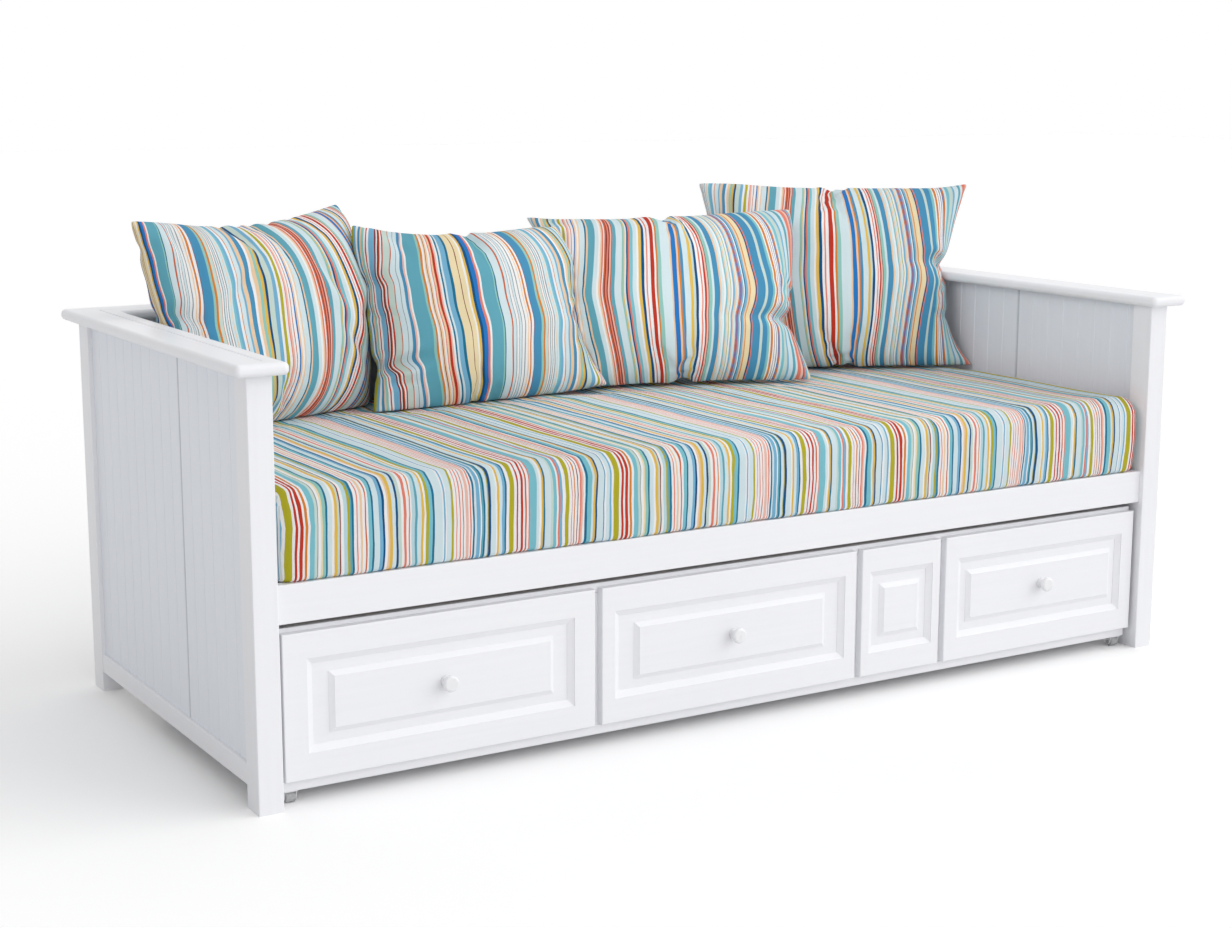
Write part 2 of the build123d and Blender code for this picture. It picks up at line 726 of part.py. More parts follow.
def runner_pair(name):
    low, high = bay(name)
    reach = drawer_side_gap + runner_entry
    y0 = chest_front + runner_front_inset
    y1 = chest_rear - chest_back_thickness - runner_back_inset
    left = block((low + glue_gap, y0, runner_level), (low + reach, y1, runner_level + runner_height))
    right = block((high - reach, y0, runner_level), (high - glue_gap, y1, runner_level + runner_height))
    return [left, right]


# Drawer boxes
drawer_rear = chest_front + drawer_side_length
drawer_floor_bottom = drawer_box_bottom + drawer_floor_height
drawer_floor_top = drawer_floor_bottom + drawer_floor_thickness


def drawer_side(name, left):
    """Side with a groove for its runner outside and one for the drawer floor inside."""
    low, high = bay(name)
    sign = 1 if left else -1
    outer = (low if left else high) + sign * drawer_side_gap
    inner = outer + sign * drawer_side_thickness
    xs = sorted((outer, inner))
    shape = block((xs[0], front_back - drawer_housing, drawer_box_bottom),
                  (xs[1], drawer_rear, drawer_box_top))
    xs = sorted((outer - sign * overrun, outer + sign * (runner_entry + runner_end_gap)))
    groove_front = chest_front + runner_front_inset - runner_end_gap
    shape -= block((xs[0], groove_front, runner_level - runner_under_gap),
                   (xs[1], drawer_rear + overrun, runner_level + runner_height + rest_gap))
    xs = sorted((inner - sign * (drawer_housing + fit_gap), inner + sign * overrun))
    return shape - block((xs[0], front_back - drawer_housing - overrun, drawer_floor_bottom - fit_gap),
                         (xs[1], drawer_rear + overrun, drawer_floor_top + fit_gap))


def drawer_room(name):
    """Inner faces of the two sides."""
    low, high = bay(name)
    reach = drawer_side_gap + drawer_side_thickness
    return low + reach, high - reach


def drawer_floor(name):
    x0, x1 = drawer_room(name)
    return block((x0 - drawer_housing, front_back - drawer_housing, drawer_floor_bottom),
                 (x1 + drawer_housing, drawer_rear - drawer_back_inset, drawer_floor_top))


def drawer_back(name):
    x0, x1 = drawer_room(name)
    rear = drawer_rear - drawer_back_inset
    return block((x0 + glue_gap, rear - drawer_back_thickness, drawer_floor_top + fit_gap),
                 (x1 - glue_gap, rear, drawer_box_top - drawer_back_drop))


def drawer_front(name):
    """Raised front, housed for the sides and the floor, bored for the knob."""
    shape = raised_front(name)
    low, high = bay(name)
    reach = drawer_housing + fit_gap
    for outer, sign in ((low + drawer_side_gap, 1), (high - drawer_side_gap, -1)):
        xs = sorted((outer - sign * fit_gap, outer + sign * (drawer_side_thickness + fit_gap)))
        shape -= block((xs[0], front_back - reach, drawer_box_bottom - fit_gap),
                       (xs[1], front_back + overrun, drawer_box_top + fit_gap))
    x0, x1 = drawer_room(name)
    shape -= block((x0 - fit_gap, front_back - reach, drawer_floor_bottom - fit_gap),
                   (x1 + fit_gap, front_back + overrun, drawer_floor_top + fit_gap))
    x, y, z = knob_place(name)
    bore = Circle(knob_spigot_radius + knob_spigot_gap)
    return shape - extrude(Plane(origin=(x, y, z), z_dir=(0, 1, 0)) * bore, knob_spigot_length + bottom_gap)


# Casters
def caster_places():
    """Wheel's middle in plan and the way its plate reaches."""
    x = chest_half - caster_inset_x
    return [(side * x, y, way) for y, way in ((chest_front + caster_inset_front, 1),
                                              (chest_rear - caster_inset_back, -1)) for side in (-1, 1)]


def caster_screw_places(place):
    x, y, way = place
    return [(x - caster_screw_x, y + way * (plate_back - caster_screw_inset)),
            (x + caster_screw_x, y + way * (plate_back - caster_screw_inset))]


caster_names = ["front_left", "front_right", "rear_left", "rear_right"]
plate_top = chest_lift - glue_gap
plate_bottom = plate_top - cheek_thickness
cheek_inner = wheel_width / 2 + cheek_gap
cheek_outer = cheek_inner + cheek_thickness


def caster_bracket(place):
    """Plate with two folded cheeks that taper to the axle."""
    x, y, way = place
    ys = sorted((y - way * plate_front, y + way * plate_back))
    shape = block((x - cheek_outer, ys[0], plate_bottom), (x + cheek_outer, ys[1], plate_top))
    tangent = Polyline([(-cheek_top_half, plate_top), (-cheek_foot_radius, wheel_radius)])
    foot = ThreePointArc((-cheek_foot_radius, wheel_radius), (0, wheel_radius - cheek_foot_radius),
                         (cheek_foot_radius, wheel_radius))
    rest = Polyline([(cheek_foot_radius, wheel_radius), (cheek_top_half, plate_top),
                     (-cheek_top_half, plate_top)])
    outline = make_face([*tangent.edges(), *foot.edges(), *rest.edges()])
    hole = Pos(0, wheel_radius) * Circle(axle_radius + axle_gap)
    cheek = Plane.YZ * (outline - hole)
    for start in (-cheek_outer, cheek_inner):
        shape += Pos(x + start, y, 0) * extrude(cheek, cheek_thickness)
    for sx, sy in caster_screw_places(place):
        hole = Cylinder(caster_screw_radius + screw_gap, cheek_thickness * 4)
        shape -= Pos(sx, sy, plate_bottom) * hole
    return shape


def axle(place):
    x, y, way = place
    half = cheek_outer + glue_gap
    pin = Cylinder(axle_radius, half * 2 + axle_head_height * 2)
    for side in (-1, 1):
        head = Cylinder(axle_head_radius, axle_head_height)
        pin += Pos(0, 0, side * (half + axle_head_height / 2)) * head
    return Pos(x, y, wheel_radius) * Rot(0, 90, 0) * pin


def caster_screws(place):
    result = []
    for x, y in caster_screw_places(place):
        low = plate_bottom - glue_gap - caster_screw_head_height
        head = Pos(x, y, low) * Cylinder(caster_screw_head_radius, caster_screw_head_height,
                                         align=(Align.CENTER, Align.CENTER, Align.MIN))
        shank = Pos(x, y, low) * Cylinder(caster_screw_radius, caster_screw_length + cheek_thickness,
                                          align=(Align.CENTER, Align.CENTER, Align.MIN))
        result.append(head + shank)
    return result


def wheel(place):
    x, y, way = place
    tread = Cylinder(wheel_radius, wheel_width)
    tread = fillet(tread.edges().filter_by(GeomType.CIRCLE), wheel_edge_round)
    tread -= Cylinder(axle_radius + axle_gap, wheel_width * 2)
    return Pos(x, y, wheel_radius) * Rot(0, 90, 0) * tread


def main():
    os.makedirs("parts", exist_ok=True)

    for front, place in ((True, "front"), (False, "rear")):
        shape = post(front)
        save(shape, "post_" + place + "_left")
        save(flipped(shape), "post_" + place + "_right")
    save(end_panel(joint_shares["left"] * bed_depth), "end_panel_left")
    save(flipped(end_panel(joint_shares["right"] * bed_depth)), "end_panel_right")
    shape = end_rail()
    save(shape, "end_rail_left")
    save(flipped(shape), "end_rail_right")
    save(back_panel(), "back_panel")
    save(back_rail(), "back_rail")
    save(front_rail(), "front_rail")
    for shape, name in zip(caps(), ("left", "right", "back")):
        save(shape, "cap_" + name)
    save(slats(), "slats")
    save(ledger(True), "slat_ledger_front")
    save(ledger(False), "slat_ledger_back")
    angles = [angle(True), angle(False)]
    save(angles + [flipped(a) for a in angles], "rail_angles")
    screws = [screw(p, d) for front in (True, False) for p, d in angle_screws(front)]
    save(screws + [flipped(s) for s in screws], "angle_screws")
    save(mattress(), "mattress")
    for name, shape in all_pillows().items():
        save(shape, name)

    save(chest_floor(), "chest_floor")
    shape = chest_side()
    save(shape, "chest_side_left")
    save(flipped(shape), "chest_side_right")
    save(chest_back(), "chest_back")
    save(chest_rail(), "chest_rail")
    for x, name in zip(divider_places, ("left", "middle", "right")):
        save(divider(x), "chest_divider_" + name)
    save(raised_front("filler"), "filler_front")
    drawers = ("left", "middle", "right")
    save([r for name in drawers for r in runner_pair(name)], "drawer_runners")
    places = caster_places()
    save([caster_bracket(p) for p in places], "caster_brackets")
    save([axle(p) for p in places], "caster_axles")
    save([s for p in places for s in caster_screws(p)], "caster_screws")
    for place, name in zip(places, caster_names):
        save(wheel(place), "wheel_" + name)

    for name in drawers:
        save(drawer_front(name), "drawer_" + name + "_front")
        save(drawer_side(name, True), "drawer_" + name + "_side_left")
        save(drawer_side(name, False), "drawer_" + name + "_side_right")
        save(drawer_back(name), "drawer_" + name + "_back")
        save(drawer_floor(name), "drawer_" + name + "_floor")
        save(knob(name), "knob_" + name)


main()
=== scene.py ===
import bpy
import math
import numpy as np
from mathutils import Matrix, Vector, noise
from mathutils.bvhtree import BVHTree


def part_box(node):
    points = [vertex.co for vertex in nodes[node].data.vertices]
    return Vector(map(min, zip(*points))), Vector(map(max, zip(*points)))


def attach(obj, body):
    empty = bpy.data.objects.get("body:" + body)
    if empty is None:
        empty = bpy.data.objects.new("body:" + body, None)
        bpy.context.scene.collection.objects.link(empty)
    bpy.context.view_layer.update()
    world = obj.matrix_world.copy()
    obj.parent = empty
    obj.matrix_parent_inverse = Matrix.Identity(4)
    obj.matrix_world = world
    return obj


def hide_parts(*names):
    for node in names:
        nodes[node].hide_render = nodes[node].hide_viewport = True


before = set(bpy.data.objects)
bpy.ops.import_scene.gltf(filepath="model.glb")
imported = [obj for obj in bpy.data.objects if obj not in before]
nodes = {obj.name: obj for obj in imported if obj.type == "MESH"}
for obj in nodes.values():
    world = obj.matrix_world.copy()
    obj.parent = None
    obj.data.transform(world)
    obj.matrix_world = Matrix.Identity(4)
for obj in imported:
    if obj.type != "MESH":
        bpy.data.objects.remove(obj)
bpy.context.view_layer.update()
print("daybed frame loaded")


def linear(code):
    # a colour written as on a paint card, made linear by the sRGB curve
    parts = [int(code[k:k + 2], 16) / 255 for k in (0, 2, 4)]
    return tuple(p / 12.92 if p <= 0.04045 else ((p + 0.055) / 1.055) ** 2.4 for p in parts) + (1.0,)


def clearSelection():
    if bpy.context.object and bpy.context.object.mode != "OBJECT":
        bpy.ops.object.mode_set(mode="OBJECT")
    bpy.ops.object.select_all(action="DESELECT")


def active(piece):
    clearSelection()
    bpy.context.view_layer.objects.active = piece
    piece.select_set(True)
    return piece


def applyModifiers(piece):
    active(piece)
    for modifier in list(piece.modifiers):
        bpy.ops.object.modifier_apply(modifier=modifier.name)


def points(mesh):
    flat = np.empty(len(mesh.vertices) * 3)
    mesh.vertices.foreach_get("co", flat)
    return flat.reshape(-1, 3)


def setPoints(mesh, table):
    mesh.vertices.foreach_set("co", np.ascontiguousarray(table, dtype=np.float32).ravel())
    mesh.update()


class Value:  # a node's output that can be used in sums
    def __init__(self, finish, socket):
        self.finish = finish
        self.socket = socket

    def maths(self, operation, other=None, flip=False):
        pair = (other, self) if flip else (self, other)
        sockets = {k: v for k, v in enumerate(pair) if v is not None}
        return self.finish.node("ShaderNodeMath", {"operation": operation}, sockets)

    def __add__(self, other):
        return self.maths("ADD", other)

    def __radd__(self, other):
        return self.maths("ADD", other, True)

    def __sub__(self, other):
        return self.maths("SUBTRACT", other)

    def __rsub__(self, other):
        return self.maths("SUBTRACT", other, True)

    def __mul__(self, other):
        return self.maths("MULTIPLY", other)

    def __truediv__(self, other):
        return self.maths("DIVIDE", other)

    def __mod__(self, other):
        return self.maths("FLOORED_MODULO", other)

    def __gt__(self, other):
        return self.maths("GREATER_THAN", other)


class Finish:  # one material: its shader and the nodes in front of it
    def __init__(self, name, constants):
        self.material = bpy.data.materials.new(name)
        self.material.use_nodes = True
        self.tree = self.material.node_tree
        self.shader = self.tree.nodes["Principled BSDF"]
        for socket, value in constants.items():
            self.shader.inputs[socket].default_value = value

    def node(self, kind, settings=None, sockets=None, output=0):
        made = self.tree.nodes.new(kind)
        for key, value in (settings or {}).items():
            if key == "stops":
                self.fillRamp(made.color_ramp, value)
            elif key == "interpolation":
                made.color_ramp.interpolation = value
            else:
                setattr(made, key, value)
        for key, value in (sockets or {}).items():
            if isinstance(value, Value):
                self.tree.links.new(value.socket, made.inputs[key])
            else:
                made.inputs[key].default_value = value
        return Value(self, made.outputs[output])

    def fillRamp(self, ramp, stops):
        ramp.elements[0].position, ramp.elements[0].color = stops[0]
        ramp.elements[1].position, ramp.elements[1].color = stops[1]
        for position, colour in stops[2:]:
            ramp.elements.new(position).color = colour

    def place(self, kind="Object", scale=(1, 1, 1)):
        where = self.node("ShaderNodeTexCoord", output=kind)
        return self.node("ShaderNodeMapping", {}, {"Vector": where, "Scale": scale})

    def cloud(self, where, scale, detail=2.0, rough=0.5):
        return self.node("ShaderNodeTexNoise", {}, {"Vector": where, "Scale": scale, "Detail": detail,
                                                    "Roughness": rough})

    def blend(self, factor, first, second):
        return self.node("ShaderNodeMix", {"data_type": "RGBA"}, {0: factor, 6: first, 7: second}, 2)

    def feed(self, socket, value):
        self.tree.links.new(value.socket, self.shader.inputs[socket])

    def bump(self, height, strength, distance):
        self.feed("Normal", self.node("ShaderNodeBump", {}, {"Height": height, "Strength": strength,
                                                             "Distance": distance}))


# scales are in clouds per metre, pitches and depths in metres; a name such as strokeRough says how far
# the strokes move the roughness
paint = {"bright": "F4F4F7", "soft": "ECEDF1", "specular": 0.42, "mottleScale": 3.1, "strokeTone": 0.75,
         "mottleTone": 0.45, "toneShift": 0.1, "rough": 0.34, "strokeRough": 0.16, "mottleRough": 0.06,
         "strokePitch": 0.009, "strokeStretch": 0.03, "strokeDepth": 0.00009, "strokeBump": 0.55}
# paint of the beadboard panels: bright and soft are painted shade, cooler and darker than the other paint, as
# sky light gives in shade; shade is the painted shade in the joint's groove, and the last entry is that
# band's half width
shadedBoards = {"bright": "EEF1F7", "soft": "E6EAF1", "shade": "BABEC4", "grooveShadeReach": 0.005}


def paintedWood(name, along, tints=paint, joint=None):
    # brushed satin paint: strokes run along the board; painted shade darkens a band along a panel's joint
    finish = Finish(name, {"Specular IOR Level": paint["specular"]})
    stretch = [1 / paint["strokePitch"]] * 3
    stretch[along] *= paint["strokeStretch"]
    strokes = finish.cloud(finish.place("Object", tuple(stretch)), 1.0, 5.0, 0.62)
    mottle = finish.cloud(finish.place(), paint["mottleScale"], 3.0)
    tone = strokes * paint["strokeTone"] + mottle * paint["mottleTone"] - paint["toneShift"]
    colour = finish.blend(tone, linear(tints["soft"]), linear(tints["bright"]))
    # painted shade: a band along the joint's groove, darkest at its middle, fades out to the paint
    if joint:
        across, middle = joint
        place = finish.node("ShaderNodeSeparateXYZ", {}, {"Vector": finish.place()}, across)
        near = 1.0 - (place - middle).maths("ABSOLUTE") / shadedBoards["grooveShadeReach"]
        colour = finish.blend(near, colour, linear(shadedBoards["shade"]))
    finish.feed("Base Color", colour)
    finish.feed("Roughness", paint["rough"] + strokes * paint["strokeRough"] - mottle * paint["mottleRough"])
    finish.bump(strokes, paint["strokeBump"], paint["strokeDepth"])
    return finish.material


def beadboardShadedPaint(node, across):
    # the wide joint of a beadboard panel is its deepest groove; the panel's paint is a painted shade copy,
    # cooler and darker, and the groove gets painted shade
    low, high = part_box(node)
    through = 1 - across
    middle = (low[across] + high[across]) / 2
    inside = 0.9 * (middle - low[across])
    spots = [v.co for v in nodes[node].data.vertices if abs(v.co[across] - middle) < inside]
    deepest = max(spots, key=lambda spot: min(spot[through] - low[through], high[through] - spot[through]))
    return paintedWood(node + "Paint", alongZ, shadedBoards, (across, deepest[across]))


knobPaint = {"colour": "F3F3F5", "shade": "E6E7EA", "specular": 0.5, "coatGloss": 0.12, "mottleScale": 38.0,
             "rough": 0.22, "mottleRough": 0.12, "coat": 0.25, "mottleCoat": 0.2, "bump": 0.3,
             "bumpDepth": 0.0002}


def turnedPaint(name):
    finish = Finish(name, {"Specular IOR Level": knobPaint["specular"],
                           "Coat Roughness": knobPaint["coatGloss"]})
    mottle = finish.cloud(finish.place(), knobPaint["mottleScale"], 3.0)
    finish.feed("Base Color", finish.blend(mottle, linear(knobPaint["shade"]), linear(knobPaint["colour"])))
    finish.feed("Roughness", knobPaint["rough"] + mottle * knobPaint["mottleRough"])
    finish.feed("Coat Weight", knobPaint["coat"] + mottle * knobPaint["mottleCoat"])
    finish.bump(mottle, knobPaint["bump"], knobPaint["bumpDepth"])
    return finish.material


pine = {"pale": "E9D4AD", "honey": "DAB784", "late": "C79D66", "specular": 0.4, "ringPitch": 0.013,
        "ringStretch": 0.06, "ringWander": 7.0, "driftScale": 9.0, "waveTone": 0.7, "driftTone": 0.4,
        "fibreAcross": 900, "fibreAlong": 14, "fibreFade": 0.35, "rough": 0.42, "fibreRough": 0.2,
        "bump": 0.4, "bumpDepth": 0.0003}


def bareWood(name, along):
    # planed softwood under a clear coat, rings and fibres stretched along the board
    finish = Finish(name, {"Specular IOR Level": pine["specular"]})
    stretch = [1.0, 1.0, 1.0]
    stretch[along] = pine["ringStretch"]
    where = finish.place("Object", tuple(stretch))
    drift = finish.cloud(where, pine["driftScale"], 2.0)
    wave = finish.node("ShaderNodeTexWave", {"wave_type": "BANDS", "bands_direction": "DIAGONAL"},
                       {"Vector": where, "Scale": 0.3 / pine["ringPitch"], "Distortion": pine["ringWander"],
                        "Detail": 2.0, "Detail Scale": 1.4})
    fine = [pine["fibreAcross"]] * 3
    fine[along] = pine["fibreAlong"]
    fibre = finish.cloud(finish.place("Object", tuple(fine)), 1.0, 2.0)
    rings = wave * pine["waveTone"] + drift * pine["driftTone"]
    colour = finish.node("ShaderNodeValToRGB", {"stops": [(0.05, linear(pine["pale"])),
                                                          (0.62, linear(pine["honey"])),
                                                          (1.0, linear(pine["late"]))]}, {"Fac": rings})
    finish.feed("Base Color", finish.blend(fibre * pine["fibreFade"], colour, linear(pine["pale"])))
    finish.feed("Roughness", pine["rough"] + fibre * pine["fibreRough"])
    finish.bump(fibre * 0.6 + wave * 0.4, pine["bump"], pine["bumpDepth"])
    return finish.material


zinc = {"light": "C9CBCE", "dark": "9A9DA2", "spangleScale": 260.0, "scuffScale": (40, 900, 40),
        "rough": 0.28, "scuffRough": 0.25, "bump": 0.2, "bumpDepth": 0.0001}


def platedSteel(name):
    finish = Finish(name, {"Metallic": 1.0})
    spangle = finish.cloud(finish.place(), zinc["spangleScale"], 3.0)
    scuff = finish.cloud(finish.place("Object", zinc["scuffScale"]), 1.0, 2.0)
    finish.feed("Base Color", finish.blend(spangle, linear(zinc["dark"]), linear(zinc["light"])))
    finish.feed("Roughness", zinc["rough"] + scuff * zinc["scuffRough"])
    finish.bump(scuff, zinc["bump"], zinc["bumpDepth"])
    return finish.material


powder = {"clean": "F0F0F1", "dusty": "DADBDD", "specular": 0.45, "peelScale": 900.0, "dustScale": 30.0,
          "rough": 0.38, "peelRough": 0.18, "bump": 0.35, "bumpDepth": 0.0001}


def powderCoat(name):
    finish = Finish(name, {"Specular IOR Level": powder["specular"]})
    peel = finish.cloud(finish.place(), powder["peelScale"], 2.0)
    dust = finish.cloud(finish.place(), powder["dustScale"], 3.0)
    finish.feed("Base Color", finish.blend(dust, linear(powder["dusty"]), linear(powder["clean"])))
    finish.feed("Roughness", powder["rough"] + peel * powder["peelRough"])
    finish.bump(peel, powder["bump"], powder["bumpDepth"])
    return finish.material


tread = {"light": "C4C5C6", "dark": "8E9092", "specular": 0.4, "scuffScale": 220.0, "rough": 0.5,
         "scuffRough": 0.25, "bump": 0.3, "bumpDepth": 0.0002}


def nylon(name):
    # wheels: matt, a little scuffed on the tread
    finish = Finish(name, {"Specular IOR Level": tread["specular"]})
    scuff = finish.cloud(finish.place(), tread["scuffScale"], 4.0)
    finish.feed("Base Color", finish.blend(scuff, linear(tread["dark"]), linear(tread["light"])))
    finish.feed("Roughness", tread["rough"] + scuff * tread["scuffRough"])
    finish.bump(scuff, tread["bump"], tread["bumpDepth"])
    return finish.material


yarn = {
    "white": "FBFBFB", "ice": "DDEFF4", "pale": "C4E2E9", "sage": "D2E4DB", "foam": "9AD0C6",
    "aqua": "84CAD8", "sky": "7EBADC", "teal": "68AFC2", "blue": "4E98C2", "deep": "24789C",
    "navy": "1A5688", "royal": "2C7ECC", "red": "C93C2A", "rust": "D56C44", "maroon": "8C3A36",
    "coral": "EF8872", "pink": "F7C4B4", "peach": "F8D4AE", "cream": "F8E6BA", "yellow": "EFC458",
    "orange": "E18736", "olive": "BCB42E", "grey": "8A959D",
}

# yarn and its width in millimetres, from left to right across the cloth
pillowStripes = """sky 13 maroon 3 white 3 maroon 4 rust 2 white 4 red 3 sage 15 rust 2 ice 11 grey 1.5 ice 8
blue 7 pink 4 white 4 teal 31 foam 5 orange 4 white 4 peach 3 maroon 1.2 peach 4 white 4 coral 2 peach 4
red 6 pink 3 white 4 deep 4 ice 4 sky 10 deep 5 cream 12 maroon 1.5 cream 9 white 3 yellow 5 navy 5
royal 8 coral 4 white 4 teal 26 foam 3 deep 2 ice 15 rust 4 ice 6 grey 1.5 white 5 maroon 1.2 ice 5
grey 1.5 white 6 grey 1.5 white 6 peach 3 white 4 orange 4 white 6 maroon 1.5 blue 21 foam 6 orange 5
sage 8 rust 1.5 white 4 grey 1.5 ice 5 maroon 1.2 white 4 grey 1.5 ice 5 peach 2 ice 5 aqua 5 sky 6
white 6 orange 2 ice 10 sky 5 peach 8 blue 10 white 5 peach 7 foam 6
yellow 5 navy 5 sage 12 sky 8 white 6 olive 7 white 6 coral 2 pink 4 white 4 rust 2 white 6
royal 4 peach 5 white 5 peach 4 ice 13 deep 4 peach 5 teal 19 ice 10 white 6 peach 4 coral 4 white 3
rust 4 maroon 2 coral 4 maroon 3 pink 4 rust 3 teal 9 ice 18 foam 4 yellow 3 ice 5 navy 4 coral 5 aqua 8
ice 10 white 4 yellow 7 navy 7 white 6 coral 3 white 7 red 9 white 4 orange 4 foam 8 ice 20 peach 4
royal 9 peach 4 orange 3 blue 5 ice 12 yellow 6 sage 5 navy 6 white 6 coral 3 white 4 red 4 pink 4
maroon 1.5 foam 8 ice 6 blue 14 peach 5 ice 6 white 5 aqua 4 peach 3 ice 5 olive 2 white 5 sky 5
peach 4 ice 6 orange 3 royal 3
rust 2 sky 5 white 3 deep 3 sky 6 peach 4 orange 3 cream 13 navy 4 coral 3 blue 23 sage 8
blue 15 aqua 4 foam 4 white 4 orange 6 white 5 maroon 1.5 white 5 grey 1.5 white 4 royal 3 orange 5
ice 6 aqua 9 sage 11 sky 6 ice 13 teal 8 ice 8 coral 12 pink 9 navy 3 coral 5 sky 10 cream 8 white 5
sky 5 foam 4 peach 4 deep 3 yellow 4 ice 6 rust 3 coral 6 white 4 maroon 1.5 teal 5 sage 6 deep 4 ice 6
navy 3 cream 5 teal 6 orange 3 sage 8 olive 8 sky 7 white 6 blue 6 peach 4 foam 6 white 4 red 3 white 5"""
mattressStripes = """ice 15.5 white 3 sky 3 white 3 ice 10 olive 4 white 5 coral 2 white 4 coral 2.5 white 4
rust 2 white 4 pink 5 white 3 coral 2.5 white 3 deep 3 ice 4 sky 7 white 3 teal 4 deep 3 ice 5.5 olive 2
navy 5.5 ice 10 white 3 yellow 3.5 ice 6.5 sky 5 deep 3 white 5 olive 9 white 6 red 3.5 white 5 red 4.5
white 4 rust 3 white 5 coral 2.5 aqua 15 ice 5.5 white 4 yellow 4.5 deep 3.5 ice 12 sage 4 aqua 7
white 3 coral 3.5 sky 5 white 6 olive 8 white 5 red 1.5 white 4 orange 2.5 white 4 maroon 2 white 4
coral 3 pink 3.5 white 4 deep 5.5 aqua 9 ice 4.5 yellow 4.5 navy 4 ice 13 blue 2 white 4 ice 7.5
sky 4 white 4 olive 11 white 5 red 4.5 white 4 red 6.5 white 4 orange 4 white 5 aqua 9 sage 5 grey 1
white 5 cream 4 foam 6.5 deep 4 ice 9 white 4 yellow 5.5 sage 4 maroon 2 white 5 pale 7 olive 4
teal 3 deep 4 white 5 coral 2.5 white 4 peach 4 white 5 rust 2.5 white 4 aqua 7 deep 3 ice 11 sky 6
navy 4 white 5 peach 4 yellow 5.5 ice 6.5 navy 4 sage 6 white 5 coral 5 white 5 orange 2.5 white 3
pale 6 teal 4 ice 7.5 yellow 4.5 white 4 olive 6 aqua 7 deep 4"""


def stripeTable(words):
    # where each stripe starts, in metres, and where the sequence repeats
    words = words.split()
    table = []
    reach = 0.0
    for name, width in zip(words[::2], words[1::2]):
        table.append((reach, name))
        reach += float(width) / 1000
    return table, reach


# clouds per metre across and along the cloth for the scales; a colour ramp holds at most 32 stops
cloth = {"specular": 0.10, "sheen": 0.02, "sheenRough": 0.5, "wobble": 0.0024, "slow": (34, 5, 1),
         "fast": (150, 16, 1), "streak": 0.07, "streaks": (620, 9, 1), "washed": (90, 6, 1),
         "creases": (26, 11, 1), "rough": 0.78, "streakRough": 0.14, "weavePitch": 0.0011,
         "weaveDepth": 0.00025, "bump": 0.8, "bumpDepth": 0.002, "rampStops": 31}


def stripeColour(finish, words, across):
    # one colour ramp for each run of stripes, switched where the next one starts
    table, repeat = stripeTable(words)
    wrapped = across % repeat
    colour = None
    for first in range(0, len(table), cloth["rampStops"]):
        part = table[first:first + cloth["rampStops"]]
        end = first + cloth["rampStops"]
        low = part[0][0]
        high = table[end][0] if end < len(table) else repeat
        stops = [((reach - low) / (high - low), linear(yarn[tint])) for reach, tint in part]
        ramp = finish.node("ShaderNodeValToRGB", {"interpolation": "CONSTANT", "stops": stops},
                           {"Fac": (wrapped - low) / (high - low)})
        colour = ramp if colour is None else finish.blend(wrapped > low, colour, ramp)
    return colour


def stripedCotton(name, words, start, finer, wrinkle):
    # the stripes follow the cloth through its UV map, which is in metres
    finish = Finish(name, {"Specular IOR Level": cloth["specular"], "Sheen Weight": cloth["sheen"],
                           "Sheen Roughness": cloth["sheenRough"]})
    across = finish.node("ShaderNodeSeparateXYZ", {}, {"Vector": finish.place("UV")})
    along = Value(finish, across.socket.node.outputs[1])
    slow = finish.cloud(finish.place("UV", cloth["slow"]), 1.0, 2.0) - 0.5
    fast = finish.cloud(finish.place("UV", cloth["fast"]), 1.0, 1.0) - 0.5
    shifted = across * finer + start + slow * cloth["wobble"] * 2 + fast * cloth["wobble"]
    colour = stripeColour(finish, words, shifted)
    streaks = finish.cloud(finish.place("UV", cloth["streaks"]), 1.0, 3.0, 0.6)
    washed = finish.cloud(finish.place("UV", cloth["washed"]), 1.0, 2.0)
    fade = (streaks - 0.5) * cloth["streak"] * 1.4 + (washed - 0.5) * cloth["streak"]
    tone = 1.0 - cloth["streak"] * 0.5 + fade
    shade = finish.node("ShaderNodeCombineColor", {}, {0: tone, 1: tone, 2: tone})
    finish.feed("Base Color", finish.node("ShaderNodeMix", {"data_type": "RGBA", "blend_type": "MULTIPLY"},
                                          {0: 1.0, 6: colour, 7: shade}, 2))
    turns = 2 * math.pi / cloth["weavePitch"]
    weave = (across * turns).maths("SINE") * (along * turns).maths("SINE")
    creases = finish.cloud(finish.place("UV", cloth["creases"]), 1.0, 3.0, 0.55)
    relief = weave * (cloth["weaveDepth"] / cloth["bumpDepth"]) + creases * wrinkle
    finish.feed("Roughness", cloth["rough"] + streaks * cloth["streakRough"])
    finish.bump(relief, cloth["bump"], cloth["bumpDepth"])
    return finish.material


alongX, alongY, alongZ = 0, 1, 2
paintX = paintedWood("satinPaintLengthwise", alongX)
paintY = paintedWood("satinPaintCrosswise", alongY)
paintZ = paintedWood("satinPaintUpright", alongZ)
pineX = bareWood("softwoodLengthwise", alongX)
pineY = bareWood("softwoodCrosswise", alongY)
steel = platedSteel("zincPlatedSteel")
drawerSides = ("left", "middle", "right")

